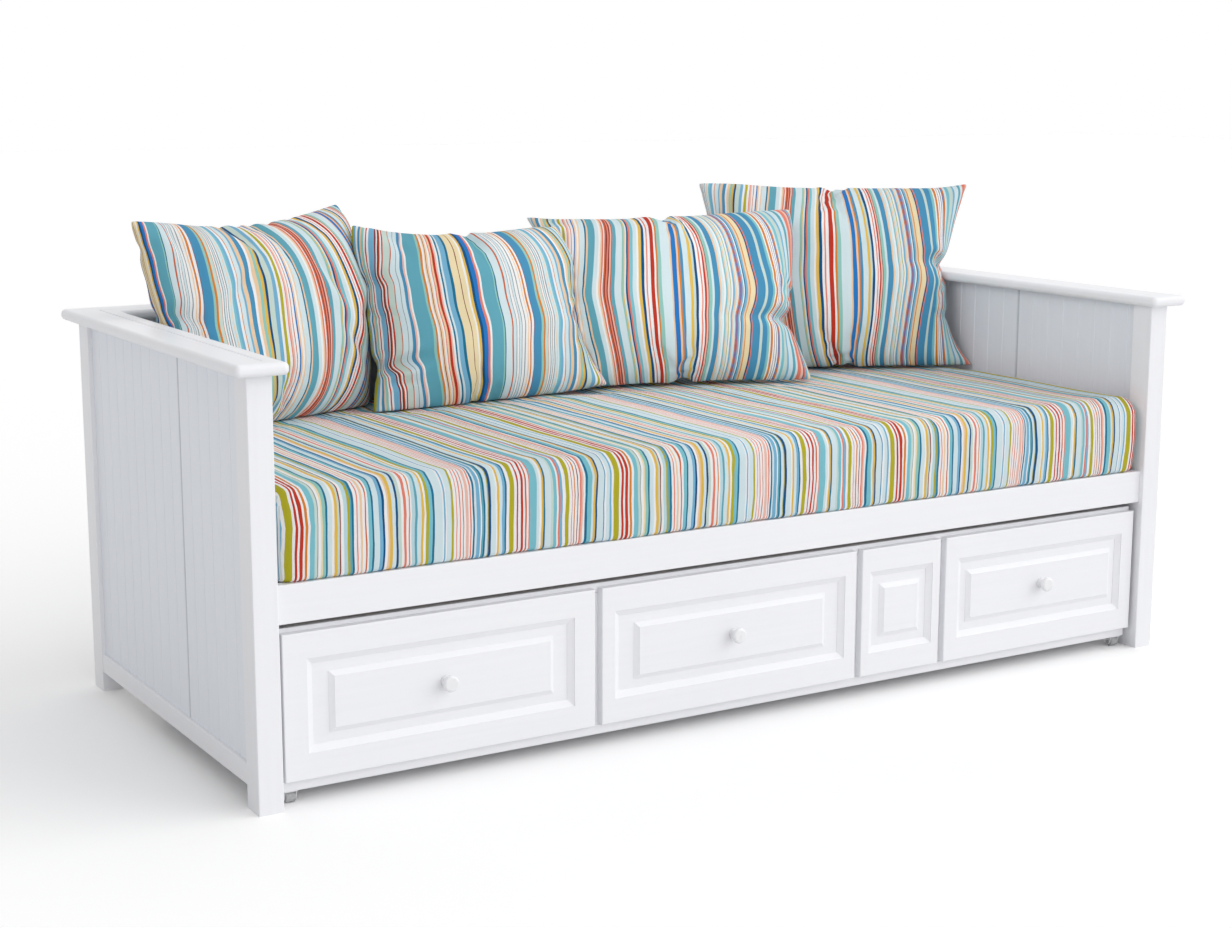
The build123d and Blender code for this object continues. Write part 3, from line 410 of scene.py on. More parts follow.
finishes = {
    paintZ: ["post_front_left", "post_front_right", "post_rear_left", "post_rear_right",
             "chest_divider_left", "chest_divider_middle", "chest_divider_right"],
    beadboardShadedPaint("end_panel_left", alongY): ["end_panel_left"],
    beadboardShadedPaint("end_panel_right", alongY): ["end_panel_right"],
    beadboardShadedPaint("back_panel", alongX): ["back_panel"],
    paintX: ["back_rail", "front_rail", "cap_back", "chest_floor", "chest_back", "chest_rail",
             "filler_front", "drawer_left_front", "drawer_middle_front", "drawer_right_front"],
    paintY: ["end_rail_left", "end_rail_right", "cap_left", "cap_right", "chest_side_left",
             "chest_side_right"],
    pineX: ["slat_ledger_front", "slat_ledger_back"]
           + ["drawer_%s_%s" % (side, piece) for side in drawerSides for piece in ("back", "floor")],
    pineY: ["slats", "drawer_runners"]
           + ["drawer_%s_side_%s" % (side, hand) for side in drawerSides for hand in ("left", "right")],
    steel: ["rail_angles", "angle_screws", "caster_axles", "caster_screws"],
    powderCoat("whitePowderCoat"): ["caster_brackets"],
    nylon("greyNylon"): ["wheel_front_left", "wheel_front_right", "wheel_rear_left", "wheel_rear_right"],
    turnedPaint("knobGloss"): ["knob_left", "knob_middle", "knob_right"],
}
for material, names in finishes.items():
    for name in names:
        for slot in nodes[name].material_slots:
            slot.material = material
print("paint, wood and metal on the frame")


# roundings, then how the cover is cut up for its relief, then the relief: heights, pitches and reaches
mattress = {"cornerRound": 0.034, "topRound": 0.036, "bottomRound": 0.011, "upright": 0.05,
            "step": 0.022, "cutFrom": 0.05, "cutTo": 0.045, "cutAbove": 0.03,
            "waves": 0.0014, "wavePitch": 0.19, "bulge": 0.004,
            "puckers": 0.0044, "puckerPitch": 0.075, "frontPuckers": 0.7,
            "gatherAt": 0.03, "gatherReach": 0.05, "gatherPitch": 0.028, "gatherFrom": 0.6, "gatherGain": 2.5,
            "wander": 0.0036, "wanderPitch": 0.07, "wanderFinePitch": 0.025, "wanderReach": 0.03,
            "dent": 0.004, "dentShare": 0.437, "dentHalf": 0.035, "dentFade": 0.03,
            "faceUp": 0.8, "faceFront": -0.3, "faceEnd": 0.75,
            "stripes": 0.0, "finer": 1.0, "wrinkle": 0.35, "fill": 0.9}


def edgesWhere(piece, test):
    # edit mode, edge select, only the edges that pass the test
    active(piece)
    bpy.ops.object.mode_set(mode="EDIT")
    bpy.ops.mesh.select_mode(type="EDGE")
    bpy.ops.mesh.select_all(action="DESELECT")
    bpy.ops.object.mode_set(mode="OBJECT")
    for edge in piece.data.edges:
        a, b = (piece.data.vertices[k].co for k in edge.vertices)
        edge.select = bool(test(a, b))
    bpy.ops.object.mode_set(mode="EDIT")


def sliceMesh(piece, axis, places):
    active(piece)
    bpy.ops.object.mode_set(mode="EDIT")
    for place in places:
        bpy.ops.mesh.select_all(action="SELECT")
        spot, normal = [0.0] * 3, [0.0] * 3
        spot[axis], normal[axis] = place, 1.0
        bpy.ops.mesh.bisect(plane_co=spot, plane_no=normal)
    bpy.ops.object.mode_set(mode="OBJECT")


def ripple(x, y, pitch, seed):
    # smooth noise from -1 to 1; another seed gives another stretch of it
    return noise.noise(Vector((x / pitch + seed, y / pitch - seed * 0.7, seed * 1.3)))


def mattressBlock(low, high):
    # a box with rounded edges, cut into strips that the relief can bend
    clearSelection()
    bpy.ops.mesh.primitive_cube_add(size=1, location=(low + high) / 2)
    piece = bpy.context.object
    piece.name = "mattressCover"
    piece.scale = high - low
    bpy.ops.object.transform_apply(location=True, rotation=True, scale=True)
    edgesWhere(piece, lambda a, b: abs(a.z - b.z) > mattress["upright"])
    bpy.ops.mesh.bevel(offset=mattress["cornerRound"], segments=6, affect="EDGES")
    edgesWhere(piece, lambda a, b: min(a.z, b.z) > high.z - 0.001)
    bpy.ops.mesh.bevel(offset=mattress["topRound"], segments=7, affect="EDGES")
    edgesWhere(piece, lambda a, b: max(a.z, b.z) < low.z + 0.001)
    bpy.ops.mesh.bevel(offset=mattress["bottomRound"], segments=3, affect="EDGES")
    bpy.ops.object.mode_set(mode="OBJECT")
    for axis, start in ((alongX, "cutFrom"), (alongY, "cutFrom"), (alongZ, "cutAbove")):
        first, last = low[axis] + mattress[start], high[axis] - mattress["cutTo"]
        sliceMesh(piece, axis, np.arange(first, last, mattress["step"]))
    return piece


def coverLift(x, y, z, normal, low, high):
    # waves on the top, a bulge and puckers on the front, gathers along the front edge
    ny, nz = normal[1:]
    rise = (z - low.z) / (high.z - low.z)
    lift = ripple(x, y, mattress["wavePitch"], 3.1) * mattress["waves"] * max(nz, 0)
    if ny < mattress["faceFront"]:
        lift += mattress["bulge"] * math.sin(math.pi * min(max(rise, 0), 1)) * -ny
        puckers = mattress["puckers"] * mattress["frontPuckers"]
        lift += ripple(x, z * 0.6, mattress["puckerPitch"], 7.7) * puckers
    fromEdge = abs(y - low.y - mattress["gatherAt"])
    gather = math.exp(-(fromEdge / mattress["gatherReach"]) ** 2)
    gather *= max(rise - mattress["gatherFrom"], 0) * mattress["gatherGain"]
    return lift + ripple(x, y * 0.25, mattress["gatherPitch"], 1.9) * mattress["puckers"] * gather


def pressedDown(x, y):
    # how far the pillows press the top down
    depth = 0.0
    for sizes in pillows.values():
        turn = math.radians(sizes["turn"])
        dx, dy = x - sizes["x"], y - sizes["y"]
        side = dx * math.cos(turn) + dy * math.sin(turn)
        deep = -dx * math.sin(turn) + dy * math.cos(turn)
        half = sizes["width"] * mattress["dentShare"]
        fade = math.exp(-max(abs(side) - half, 0) ** 2 / mattress["dentFade"] ** 2)
        fade *= math.exp(-max(abs(deep) - mattress["dentHalf"], 0) ** 2 / mattress["dentFade"] ** 2)
        depth += mattress["dent"] * fade
    return depth


def buildMattress():
    low, high = (Vector(corner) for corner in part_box("mattress"))
    piece = mattressBlock(low, high)
    mesh = piece.data
    table = points(mesh)
    normals = np.array([v.normal[:] for v in mesh.vertices])
    for k, (x, y, z) in enumerate(table):
        table[k] += normals[k] * coverLift(x, y, z, normals[k], low, high)
        if normals[k][2] > mattress["faceUp"]:
            table[k][2] -= pressedDown(x, y)
    setPoints(mesh, table)
    mapCover(mesh, low)
    bpy.ops.object.shade_smooth()
    return piece


def mapCover(mesh, low):
    # across = place along the bed, and round the corner on the two ends; the stripes wander a little,
    # most of all near the front edge
    layer = mesh.uv_layers.new(name="cloth") if not mesh.uv_layers else mesh.uv_layers[0]
    for face in mesh.polygons:
        onEnd = abs(face.normal.x) > mattress["faceEnd"]
        for loop in face.loop_indices:
            x, y, z = mesh.vertices[mesh.loops[loop].vertex_index].co
            nearEdge = math.exp(-abs(y - low.y - 0.02) / mattress["wanderReach"])
            across = x + ripple(x, y * 0.4 + z, mattress["wanderPitch"], 4.4) * mattress["wander"]
            across += ripple(x, y + z * 0.5, mattress["wanderFinePitch"], 2.6) * mattress["wander"] * nearEdge
            if onEnd:
                across += (y - low.y) * (1 if x > 0 else -1)
            layer.data[loop].uv = (across + 2.0, y + z + 1.0)


# x, y: middle of the bottom edge; turn about the upright and lean back, in degrees; width and height of
# the flat cloth; thickness; where the stripes start and how much finer they are than the mattress's
# outlines in the pillow's own plane: across from its middle, up from the mattress
# dents: side, level up, depth, half width; creases: from, to, depth, half width
# ears: the corners that bend, toward the open front where the number is positive
pillows = {
    "pillowLeft": {
        "node": "pillow_left", "x": -0.729, "y": 0.236, "turn": 20.0, "lean": 11.0,
        "width": 0.60, "height": 0.455, "volume": 0.0190, "thick": 0.168, "stripes": 0.192, "finer": 1.2,
        "top": [(-0.281, 0.418), (-0.20, 0.412), (-0.09, 0.396), (0.06, 0.394), (0.17, 0.408),
                (0.276, 0.428)],
        "bottom": [(-0.262, -0.012), (-0.10, -0.006), (0.10, -0.006), (0.262, -0.008)],
        "left": [(-0.262, -0.012), (-0.245, 0.10), (-0.243, 0.21), (-0.256, 0.32), (-0.281, 0.418)],
        "right": [(0.268, -0.008), (0.286, 0.10), (0.297, 0.22), (0.294, 0.34), (0.278, 0.428)],
        "dents": [("left", 0.23, 0.010, 0.02), ("left", 0.36, 0.008, 0.014)],
        "creases": [(0.13, 0.30, 0.20, 0.19, 0.010, 0.010), (0.17, 0.17, 0.255, 0.06, 0.010, 0.012),
                    (-0.05, 0.30, -0.14, 0.22, 0.006, 0.012), (-0.24, 0.24, -0.16, 0.19, 0.008, 0.010),
                    (-0.21, 0.405, -0.185, 0.31, 0.008, 0.008)],
        "ears": [("left", "top", 0.010), ("right", "top", -0.012)]},
    "pillowMiddleLeft": {
        "node": "pillow_middle_left", "x": -0.220, "y": 0.254, "turn": 3.0, "lean": 16.0,
        "width": 0.60, "height": 0.43, "volume": 0.0185, "thick": 0.162, "stripes": 1.291, "finer": 1.0,
        "top": [(-0.274, 0.393), (-0.18, 0.372), (-0.07, 0.361), (0.05, 0.362), (0.16, 0.369),
                (0.242, 0.374)],
        "bottom": [(-0.290, -0.010), (-0.13, -0.010), (0.07, -0.004), (0.288, 0.004)],
        "left": [(-0.290, -0.010), (-0.272, 0.075), (-0.268, 0.16), (-0.270, 0.25), (-0.280, 0.34),
                 (-0.274, 0.393)],
        "right": [(0.288, 0.004), (0.256, 0.085), (0.240, 0.15), (0.240, 0.21), (0.256, 0.29),
                  (0.242, 0.374)],
        "dents": [("left", 0.085, 0.020, 0.014), ("left", 0.262, 0.014, 0.016),
                  ("right", 0.165, 0.012, 0.02)],
        "creases": [(-0.285, 0.076, -0.16, 0.102, 0.026, 0.011), (-0.27, 0.05, -0.20, 0.055, 0.010, 0.009),
                    (-0.27, 0.265, -0.20, 0.285, 0.008, 0.010), (-0.205, 0.368, -0.165, 0.30, 0.007, 0.012),
                    (0.24, 0.15, 0.17, 0.19, 0.006, 0.014)],
        "ears": [("right", "top", -0.022), ("right", "bottom", 0.024)]},
    "pillowMiddleRight": {
        "node": "pillow_middle_right", "x": 0.240, "y": 0.225, "turn": -19.0, "lean": 20.0,
        "width": 0.63, "height": 0.46, "volume": 0.0185, "thick": 0.162, "stripes": 0.422, "finer": 1.25,
        "top": [(-0.322, 0.404), (-0.26, 0.389), (-0.15, 0.386), (0.0, 0.389), (0.15, 0.398),
                (0.292, 0.406)],
        "bottom": [(-0.300, -0.004), (-0.09, 0.006), (0.10, 0.008), (0.312, 0.002)],
        "left": [(-0.300, -0.004), (-0.280, 0.10), (-0.274, 0.20), (-0.288, 0.32), (-0.322, 0.404)],
        "right": [(0.312, 0.002), (0.294, 0.06), (0.276, 0.12), (0.276, 0.18), (0.286, 0.26),
                  (0.298, 0.34), (0.292, 0.406)],
        "dents": [("right", 0.141, 0.034, 0.016)],
        "creases": [(0.26, 0.141, 0.20, 0.150, 0.010, 0.012), (-0.285, 0.385, -0.225, 0.365, 0.014, 0.010),
                    (0.255, 0.13, 0.24, 0.02, 0.006, 0.012), (-0.235, 0.035, -0.205, 0.125, 0.013, 0.016)],
        "ears": [("left", "top", -0.030)]},
    "pillowRight": {
        "node": "pillow_right", "x": 0.740, "y": 0.248, "turn": -24.0, "lean": 15.0,
        "width": 0.64, "height": 0.49, "volume": 0.0195, "thick": 0.168, "stripes": 0.375, "finer": 1.25,
        "top": [(-0.352, 0.450), (-0.28, 0.447), (-0.15, 0.436), (0.0, 0.433), (0.14, 0.433),
                (0.24, 0.432), (0.306, 0.443)],
        "bottom": [(-0.330, -0.004), (-0.10, 0.004), (0.10, 0.004), (0.300, 0.002)],
        "left": [(-0.330, -0.004), (-0.312, 0.12), (-0.310, 0.24), (-0.332, 0.36), (-0.352, 0.450)],
        "right": [(0.300, 0.002), (0.262, 0.045), (0.243, 0.10), (0.240, 0.16), (0.243, 0.22),
                  (0.250, 0.28), (0.274, 0.36), (0.306, 0.443)],
        "dents": [("right", 0.246, 0.026, 0.016), ("right", 0.12, 0.008, 0.012)],
        "creases": [(0.235, 0.246, 0.185, 0.255, 0.012, 0.012), (0.225, 0.235, 0.19, 0.12, 0.007, 0.014),
                    (0.235, 0.125, 0.19, 0.105, 0.007, 0.010), (-0.30, 0.43, -0.29, 0.36, 0.006, 0.010)],
        "ears": [("right", "top", 0.006), ("left", "top", -0.010)]},
}
sewing = {"cell": 0.0095, "startDepth": 0.012, "frames": 24, "gap": 0.002, "merge": 0.0001, "quality": 7,
          "mass": 0.22, "stretch": 9.0, "compress": 0.8, "shear": 0.5, "bend": 0.30, "damping": 12,
          "airDamping": 3, "pressure": 9.0, "puff": 0.076, "meetReach": 0.08, "wrinkle": 0.75, "fill": 0.6}
outline = {"round": 0.05, "steps": 41, "smooth": 3}
nips = {"dentReach": 2.2, "flatten": 0.55, "flattenSpread": 0.8, "flattenReach": 1.6,
        "ridge": 0.45, "ridgeAt": 2.1, "ridgeSpread": 1.3, "drag": 0.35, "dragReach": 0.03,
        "earReach": 0.11, "earCurve": 1.6}
gathers = {"pitch": 0.030, "depth": 0.0075, "reach": 0.050, "foldPitch": 0.075, "fold": 0.0055,
           "creasePitch": 0.034, "crease": 0.0024, "seamFree": 0.03}

# what the pillows lean on: the side caps' inner edges are read clear of their rounded rear ends
rests = {"slopeUnder": 1.2, "slopeOver": 3.0, "capRear": 0.2, "top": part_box("mattress")[1][2],
         "capLow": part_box("cap_back")[0][2], "capHigh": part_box("cap_back")[1][2],
         "capInnerY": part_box("cap_back")[0][1], "panelX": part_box("end_panel_right")[0][0],
         "panelY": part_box("back_panel")[0][1]}
rests["level"] = rests["top"] - mattress["dent"] * 0.5
rests["capInnerX"] = min(v.co.x for v in nodes["cap_right"].data.vertices if v.co.y < rests["capRear"])


def keepClear(table, gap):
    # out of the rails, the panels and the mattress; above the rails cloth may lean over them
    under = np.clip(rests["capLow"] - gap - table[:, 2], 0, None) * rests["slopeUnder"]
    over = np.clip(table[:, 2] - rests["capHigh"] - gap, 0, None) * rests["slopeOver"]
    limitX = np.minimum(rests["panelX"] - gap, rests["capInnerX"] - gap + under) + over
    limitY = np.minimum(rests["panelY"] - gap, rests["capInnerY"] - gap + under) + over
    table[:, 0] = np.clip(table[:, 0], -limitX, limitX)
    table[:, 1] = np.minimum(table[:, 1], limitY)
    table[:, 2] = np.maximum(table[:, 2], rests["level"] + gap * 0.3)
    return table


def flatSheet(width, height, side):
    # one sheet, a little fuller on its own side, with its UV map in metres
    across = int(round(width / sewing["cell"]))
    up = int(round(height / sewing["cell"]))
    clearSelection()
    bpy.ops.mesh.primitive_grid_add(x_subdivisions=across, y_subdivisions=up, size=1,
                                    location=(0, 0, 0), calc_uvs=True)
    sheet = bpy.context.object
    sheet.scale = (width, height, 1)
    bpy.ops.object.transform_apply(location=True, rotation=True, scale=True)
    table = points(sheet.data)
    fullness = (1 - np.abs(2 * table[:, 0] / width) ** 4) * (1 - np.abs(2 * table[:, 1] / height) ** 4)
    table[:, 2] = side * sewing["startDepth"] * np.clip(fullness, 0, 1)
    setPoints(sheet.data, table)
    layer = sheet.data.uv_layers[0]
    layer.name = "cloth"
    for loop, uv in zip(sheet.data.loops, layer.data):
        spot = sheet.data.vertices[loop.vertex_index].co
        uv.uv = (spot.x + width / 2, spot.y + height / 2 + 1.0)
    if side < 0:
        sheet.data.flip_normals()
    return sheet


def sewnSheets(name, width, height):
    # two flat sheets joined all round
    front, back = (flatSheet(width, height, side) for side in (1, -1))
    active(front)
    back.select_set(True)
    bpy.ops.object.join()
    piece = bpy.context.object
    piece.name = name
    bpy.ops.object.mode_set(mode="EDIT")
    bpy.ops.mesh.select_all(action="SELECT")
    bpy.ops.mesh.remove_doubles(threshold=sewing["merge"])
    bpy.ops.object.mode_set(mode="OBJECT")
    return piece


def standUp(table, sizes):
    # from the sheet's own plane to its place on the mattress
    turn, lean = math.radians(sizes["turn"]), math.radians(sizes["lean"])
    side = np.array((math.cos(turn), math.sin(turn), 0))
    back = np.array((-math.sin(turn), math.cos(turn), 0))
    up = np.array((0, 0, 1)) * math.cos(lean) + back * math.sin(lean)
    front = np.cross(side, up)
    base = np.array((sizes["x"], sizes["y"], rests["top"]))
    return base + table[:, 0:1] * side + table[:, 1:2] * up + table[:, 2:3] * front


def inflate(piece, sizes):
    # cloth under the pressure of its filling
    modifier = piece.modifiers.new("Cloth", "CLOTH")
    settings = modifier.settings
    settings.quality = sewing["quality"]
    settings.mass = sewing["mass"]
    settings.tension_stiffness = sewing["stretch"]
    settings.compression_stiffness = sewing["stretch"] * sewing["compress"]
    settings.shear_stiffness = sewing["stretch"] * sewing["shear"]
    settings.bending_stiffness = sewing["bend"]
    settings.tension_damping = sewing["damping"]
    settings.compression_damping = sewing["damping"]
    settings.air_damping = sewing["airDamping"]
    settings.use_pressure = True
    settings.uniform_pressure_force = sewing["pressure"]
    settings.use_pressure_volume = True
    settings.target_volume = sizes["volume"]
    settings.effector_weights.gravity = 0
    modifier.collision_settings.use_collision = False
    scene = bpy.context.scene
    scene.frame_start, scene.frame_end = 1, sewing["frames"]
    modifier.point_cache.frame_start, modifier.point_cache.frame_end = 1, sewing["frames"]
    for frameNumber in range(1, sewing["frames"] + 1):
        scene.frame_set(frameNumber)
    applyModifiers(piece)
    scene.frame_set(1)


def alongLine(line, share):
    # points at shares of the length of a listed outline, rounded at its corners
    line = np.array(line)
    reach = np.concatenate([[0], np.cumsum(np.hypot(*np.diff(line, axis=0).T))])
    nearEnd = np.minimum(1, np.minimum(share, 1 - share) / outline["round"])
    spots = []
    for offset in (-1, -0.5, 0, 0.5, 1):
        at = np.clip(share + offset * outline["round"] * nearEnd, 0, 1) * reach[-1]
        spots.append(np.stack([np.interp(at, reach, line[:, k]) for k in (0, 1)], axis=1))
    return np.mean(spots, axis=0)


def seamMoves(table, u, v, shares, sizes):
    # how far each seam of the swollen cloth lies from its outline, smoothed between its ends
    seams = {"bottom": (v < 1e-4, u), "top": (v > 1 - 1e-4, u), "left": (u < 1e-4, v),
             "right": (u > 1 - 1e-4, v)}
    moves = {}
    for side, (mask, run) in seams.items():
        order = np.argsort(run[mask])
        at = run[mask][order]
        now = table[mask][order][:, :2]
        now = np.stack([np.interp(shares, at, now[:, k]) for k in (0, 1)], axis=1)
        move = alongLine(sizes[side], shares) - now
        for _ in range(outline["smooth"]):
            move[1:-1] = (move[:-2] + move[1:-1] * 2 + move[2:]) / 4
        moves[side] = move
    return moves


def fitOutline(table, flat, sizes):
    # eases the swollen cloth, so that its seam follows the outline: the four seams' moves are blended
    # over the face, and what the corners then get twice is taken off
    u = np.clip(flat[:, 0] / sizes["width"] + 0.5, 0, 1)
    v = np.clip(flat[:, 1] / sizes["height"] + 0.5, 0, 1)
    shares = np.linspace(0, 1, outline["steps"])
    moves = seamMoves(table, u, v, shares, sizes)

    def pick(side, run):
        return np.stack([np.interp(run, shares, moves[side][:, k]) for k in (0, 1)], axis=1)

    u1, v1 = u[:, None], v[:, None]
    shift = (1 - v1) * pick("bottom", u) + v1 * pick("top", u)
    shift += (1 - u1) * pick("left", v) + u1 * pick("right", v)
    corners = [(0, 0, "bottom", 0), (1, 0, "bottom", -1), (0, 1, "top", 0), (1, 1, "top", -1)]
    for toRight, toTop, side, end in corners:
        weight = (u1 if toRight else 1 - u1) * (v1 if toTop else 1 - v1)
        shift -= weight * moves[side][end]
    table[:, :2] += shift
    return table


def nipSeam(table, across, level, sizes):
    # where the seam is drawn in
    for side, where, depth, spread in sizes["dents"]:
        sign = 1 if side == "right" else -1
        line = np.array(sizes[side])
        edge = np.interp(where, line[:, 1], line[:, 0])
        inward = np.abs(edge - across) * np.where(sign * (edge - across) > 0, 1, 0)
        near = np.exp(-np.abs(level - where) / spread)
        table[:, 0] -= sign * depth * near * np.exp(-inward / (depth * nips["dentReach"]))
        flat = np.exp(-((level - where) / (spread * nips["flattenSpread"])) ** 2)
        table[:, 2] *= 1 - nips["flatten"] * flat * np.exp(-inward / (depth * nips["flattenReach"]))


def creaseCloth(table, across, level, sizes):
    # valleys in the front sheet, each with a ridge at one side and cloth drawn in from both
    for x0, y0, x1, y1, depth, spread in sizes["creases"]:
        run = np.array((x1 - x0, y1 - y0))
        length = np.hypot(*run)
        along = ((across - x0) * run[0] + (level - y0) * run[1]) / length ** 2
        off = ((across - x0) * run[1] - (level - y0) * run[0]) / length
        fade = np.clip(1.15 - np.abs(along - 0.4) * 1.5, 0, 1) ** 1.5
        ridge = np.exp(-((off - spread * nips["ridgeAt"]) / (spread * nips["ridgeSpread"])) ** 2)
        valley = np.exp(-(off / spread) ** 2) - nips["ridge"] * ridge
        drag = nips["drag"] * np.tanh(off / spread) * np.exp(-np.abs(off) / nips["dragReach"])
        front = table[:, 2] > 0
        table[:, 2] -= np.where(front, depth * fade * valley, 0)
        table[:, 0] += np.where(front, depth * fade * drag, 0)


def bendCorners(table, across, level, sizes):
    for side, end, depth in sizes["ears"]:
        corner = np.array(sizes[end][-1 if side == "right" else 0])
        reach = np.hypot(across - corner[0], level - corner[1])
        table[:, 2] += depth * np.clip(1 - reach / nips["earReach"], 0, 1) ** nips["earCurve"]


def nipCloth(table, sizes):
    # nips at the seam, creases and turned corners, as the photograph shows them
    across, level = table[:, 0].copy(), table[:, 1].copy()
    nipSeam(table, across, level, sizes)
    creaseCloth(table, across, level, sizes)
    bendCorners(table, across, level, sizes)
    return table


def gatherCloth(table, flat, sizes):
    # small gathers at the seams and soft folds that run up the faces; the pillow's place is their seed
    pitch, reach, seed = gathers["pitch"], gathers["reach"], sizes["x"]
    for k, (x, y, z) in enumerate(flat):
        toSide = sizes["width"] / 2 - abs(x)
        toEnd = sizes["height"] / 2 - abs(y)
        lift = ripple(y, x * 0.3, pitch, seed * 7) * math.exp(-toSide / reach)
        lift += ripple(x, y * 0.3, pitch, seed * 7 + 5) * math.exp(-toEnd / reach)
        fold = ripple(x + y * 0.25, y * 0.3, gathers["foldPitch"], seed * 5 + 9) * gathers["fold"]
        fold += ripple(x - y * 0.4, y * 0.35, gathers["creasePitch"], seed * 3 + 2) * gathers["crease"]
        inner = min(toSide, toEnd, gathers["seamFree"]) / gathers["seamFree"]
        table[k][2] += (lift * gathers["depth"] + fold) * inner * (1 if z > 0 else -1)
    return table


def settle(piece):
    setPoints(piece.data, keepClear(points(piece.data), sewing["gap"]))


def buildPillow(name, sizes):
    piece = sewnSheets(name, sizes["width"], sizes["height"])
    mesh = piece.data
    flat = points(mesh)
    inflate(piece, sizes)
    table = points(mesh)
    table[:, 2] *= sizes["thick"] / np.ptp(table[:, 2])
    print(name, "swollen to", np.round(table.max(0) - table.min(0), 3))
    table = gatherCloth(nipCloth(fitOutline(table, flat, sizes), sizes), flat, sizes)
    setPoints(mesh, standUp(table, sizes))
    settle(piece)
    finer = piece.modifiers.new("Finer", "SUBSURF")
    finer.levels = finer.render_levels = 1
    applyModifiers(piece)
    settle(piece)
    active(piece)
    bpy.ops.object.shade_smooth()
    return piece


def partFrom(piece, other):
    # the later pillow gives way where it meets the earlier one
    tree = BVHTree.FromPolygons([v.co.copy() for v in other.data.vertices],
                                [tuple(f.vertices) for f in other.data.polygons])
    for vertex in piece.data.vertices:
        spot, normal = tree.find_nearest(vertex.co, sewing["meetReach"])[:2]
        if spot is not None and (vertex.co - spot).dot(normal) < sewing["gap"]:
            vertex.co = spot + normal * sewing["gap"]
    piece.data.update()


cover = buildMattress()
cover.data.materials.append(stripedCotton("mattressStripes", mattressStripes, mattress["stripes"],
                                          mattress["finer"], mattress["wrinkle"]))
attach(cover, "bed_frame")
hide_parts("mattress")
print("mattress cover made")

made = []
for name, sizes in pillows.items():
    piece = buildPillow(name, sizes)
    if made:
        partFrom(piece, made[-1])
    piece.data.materials.append(stripedCotton(name + "Stripes", pillowStripes, sizes["stripes"],
                                              sizes["finer"], sewing["wrinkle"]))
    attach(piece, "bed_frame")
    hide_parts(sizes["node"])
    made.append(piece)
    print(name, "made")


studio = {"floorSize": 60.0, "floorSeen": 1.09, "floorTone": 0.80, "fill": 0.61}
# lifts the inside of the right end, as the photographer's reflector does
softbox = {"energy": 1.3, "place": (-0.5, -0.5, 1.35), "target": (1.0, 0.15, 0.66), "size": 0.6,
           "spread": 90.0}
# lamps far away: strength, where from, softness in degrees
lamps = {"softRight": (1.15, (0.75, -0.45, 0.50), 60.0), "softFront": (0.54, (0.10, -0.95, 0.30), 50.0),
         "softBehind": (0.30, (0.30, 0.50, 0.80), 60.0)}


def straightRays(tree):
    # 1 where the camera or a mirror image looks, 0 for light that bounces on
    ray = tree.nodes.new("ShaderNodeLightPath")
    seen = tree.nodes.new("ShaderNodeMath")
    seen.operation = "MAXIMUM"
    tree.links.new(ray.outputs["Is Camera Ray"], seen.inputs[0])
    tree.links.new(ray.outputs["Is Glossy Ray"], seen.inputs[1])
    return seen.outputs[0]


def layFloor():
    # matt, and paler to the eye than to the light that it throws back
    clearSelection()
    bpy.ops.mesh.primitive_grid_add(x_subdivisions=4, y_subdivisions=4, size=studio["floorSize"],
                                    location=(0, 0, 0))
    floor = bpy.context.object
    floor.name = "studioFloor"
    material = bpy.data.materials.new("studioFloorPaint")
    material.use_nodes = True
    tree = material.node_tree
    tree.nodes.clear()
    out = tree.nodes.new("ShaderNodeOutputMaterial")
    mix = tree.nodes.new("ShaderNodeMixShader")
    tree.links.new(straightRays(tree), mix.inputs[0])
    for socket, tone in ((1, studio["floorTone"]), (2, studio["floorSeen"])):
        matt = tree.nodes.new("ShaderNodeBsdfDiffuse")
        matt.inputs["Color"].default_value = (tone, tone, tone, 1)
        tree.links.new(matt.outputs[0], mix.inputs[socket])
    tree.links.new(mix.outputs[0], out.inputs[0])
    floor.data.materials.append(material)


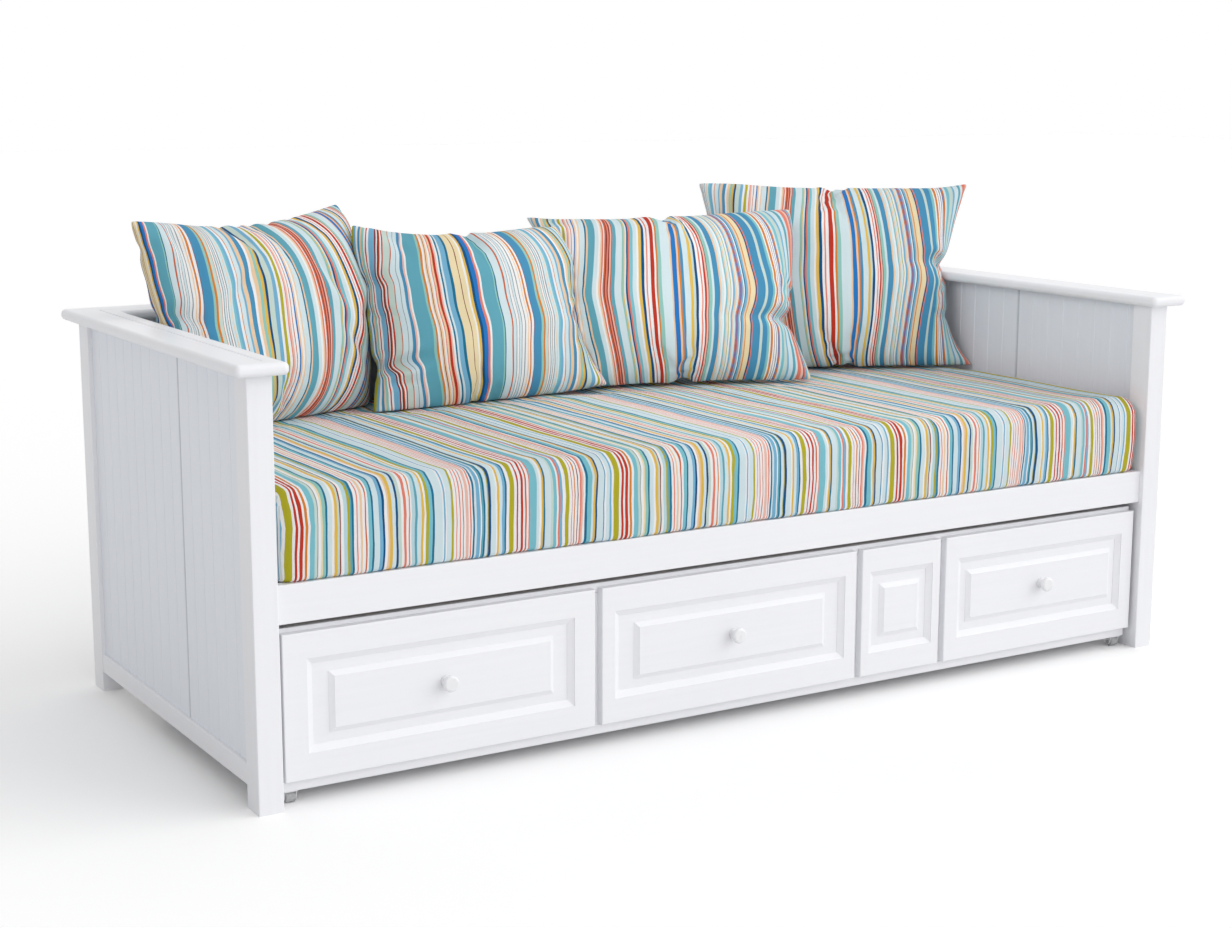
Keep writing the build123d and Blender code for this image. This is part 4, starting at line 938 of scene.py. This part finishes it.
def hang(lamp, source, place=(0, 0, 0)):
    # the lamp shines from the side that source points to
    holder = bpy.data.objects.new(lamp.name, lamp)
    bpy.context.collection.objects.link(holder)
    holder.location = place
    holder.rotation_euler = Vector(source).to_track_quat("Z", "Y").to_euler()


def hangLamps():
    for name, (strength, source, softness) in lamps.items():
        lamp = bpy.data.lights.new(name, "SUN")
        lamp.energy = strength
        lamp.angle = math.radians(softness)
        hang(lamp, source)


def hangSoftbox():
    lamp = bpy.data.lights.new("softInside", "AREA")
    lamp.energy = softbox["energy"]
    lamp.size = softbox["size"]
    lamp.spread = math.radians(softbox["spread"])
    hang(lamp, Vector(softbox["place"]) - Vector(softbox["target"]), softbox["place"])


def lightStudio():
    world = bpy.data.worlds.new("studioAir")
    bpy.context.scene.world = world
    world.use_nodes = True
    tree = world.node_tree
    sky = tree.nodes["Background"]
    sky.inputs["Color"].default_value = (1.0, 1.0, 1.0, 1.0)
    level = tree.nodes.new("ShaderNodeMapRange")
    level.inputs["To Min"].default_value = studio["fill"]
    level.inputs["To Max"].default_value = 1.0
    tree.links.new(straightRays(tree), level.inputs["Value"])
    tree.links.new(level.outputs[0], sky.inputs["Strength"])
    hangLamps()
    hangSoftbox()


# the photograph's viewpoint in metres, its angles in degrees, lens and sensor in millimetres
view = {"place": (-2.274, -3.625, 1.245), "turn": -31.36, "pitch": -10.69, "roll": 0.12, "lens": 60.395,
        "sensor": 36, "farthest": 200}


def setCamera():
    camera = bpy.data.cameras.new("photographView")
    camera.lens = view["lens"]
    camera.sensor_width = view["sensor"]
    camera.sensor_fit = "HORIZONTAL"
    camera.clip_end = view["farthest"]
    holder = bpy.data.objects.new("photographView", camera)
    bpy.context.collection.objects.link(holder)
    holder.matrix_world = (Matrix.Translation(view["place"])
                           @ Matrix.Rotation(math.radians(view["turn"]), 4, "Z")
                           @ Matrix.Rotation(math.radians(90 + view["pitch"]), 4, "X")
                           @ Matrix.Rotation(math.radians(view["roll"]), 4, "Z"))
    bpy.context.scene.camera = holder


layFloor()
lightStudio()
setCamera()
bpy.context.scene.view_settings.view_transform = "Standard"
print("studio and camera set")
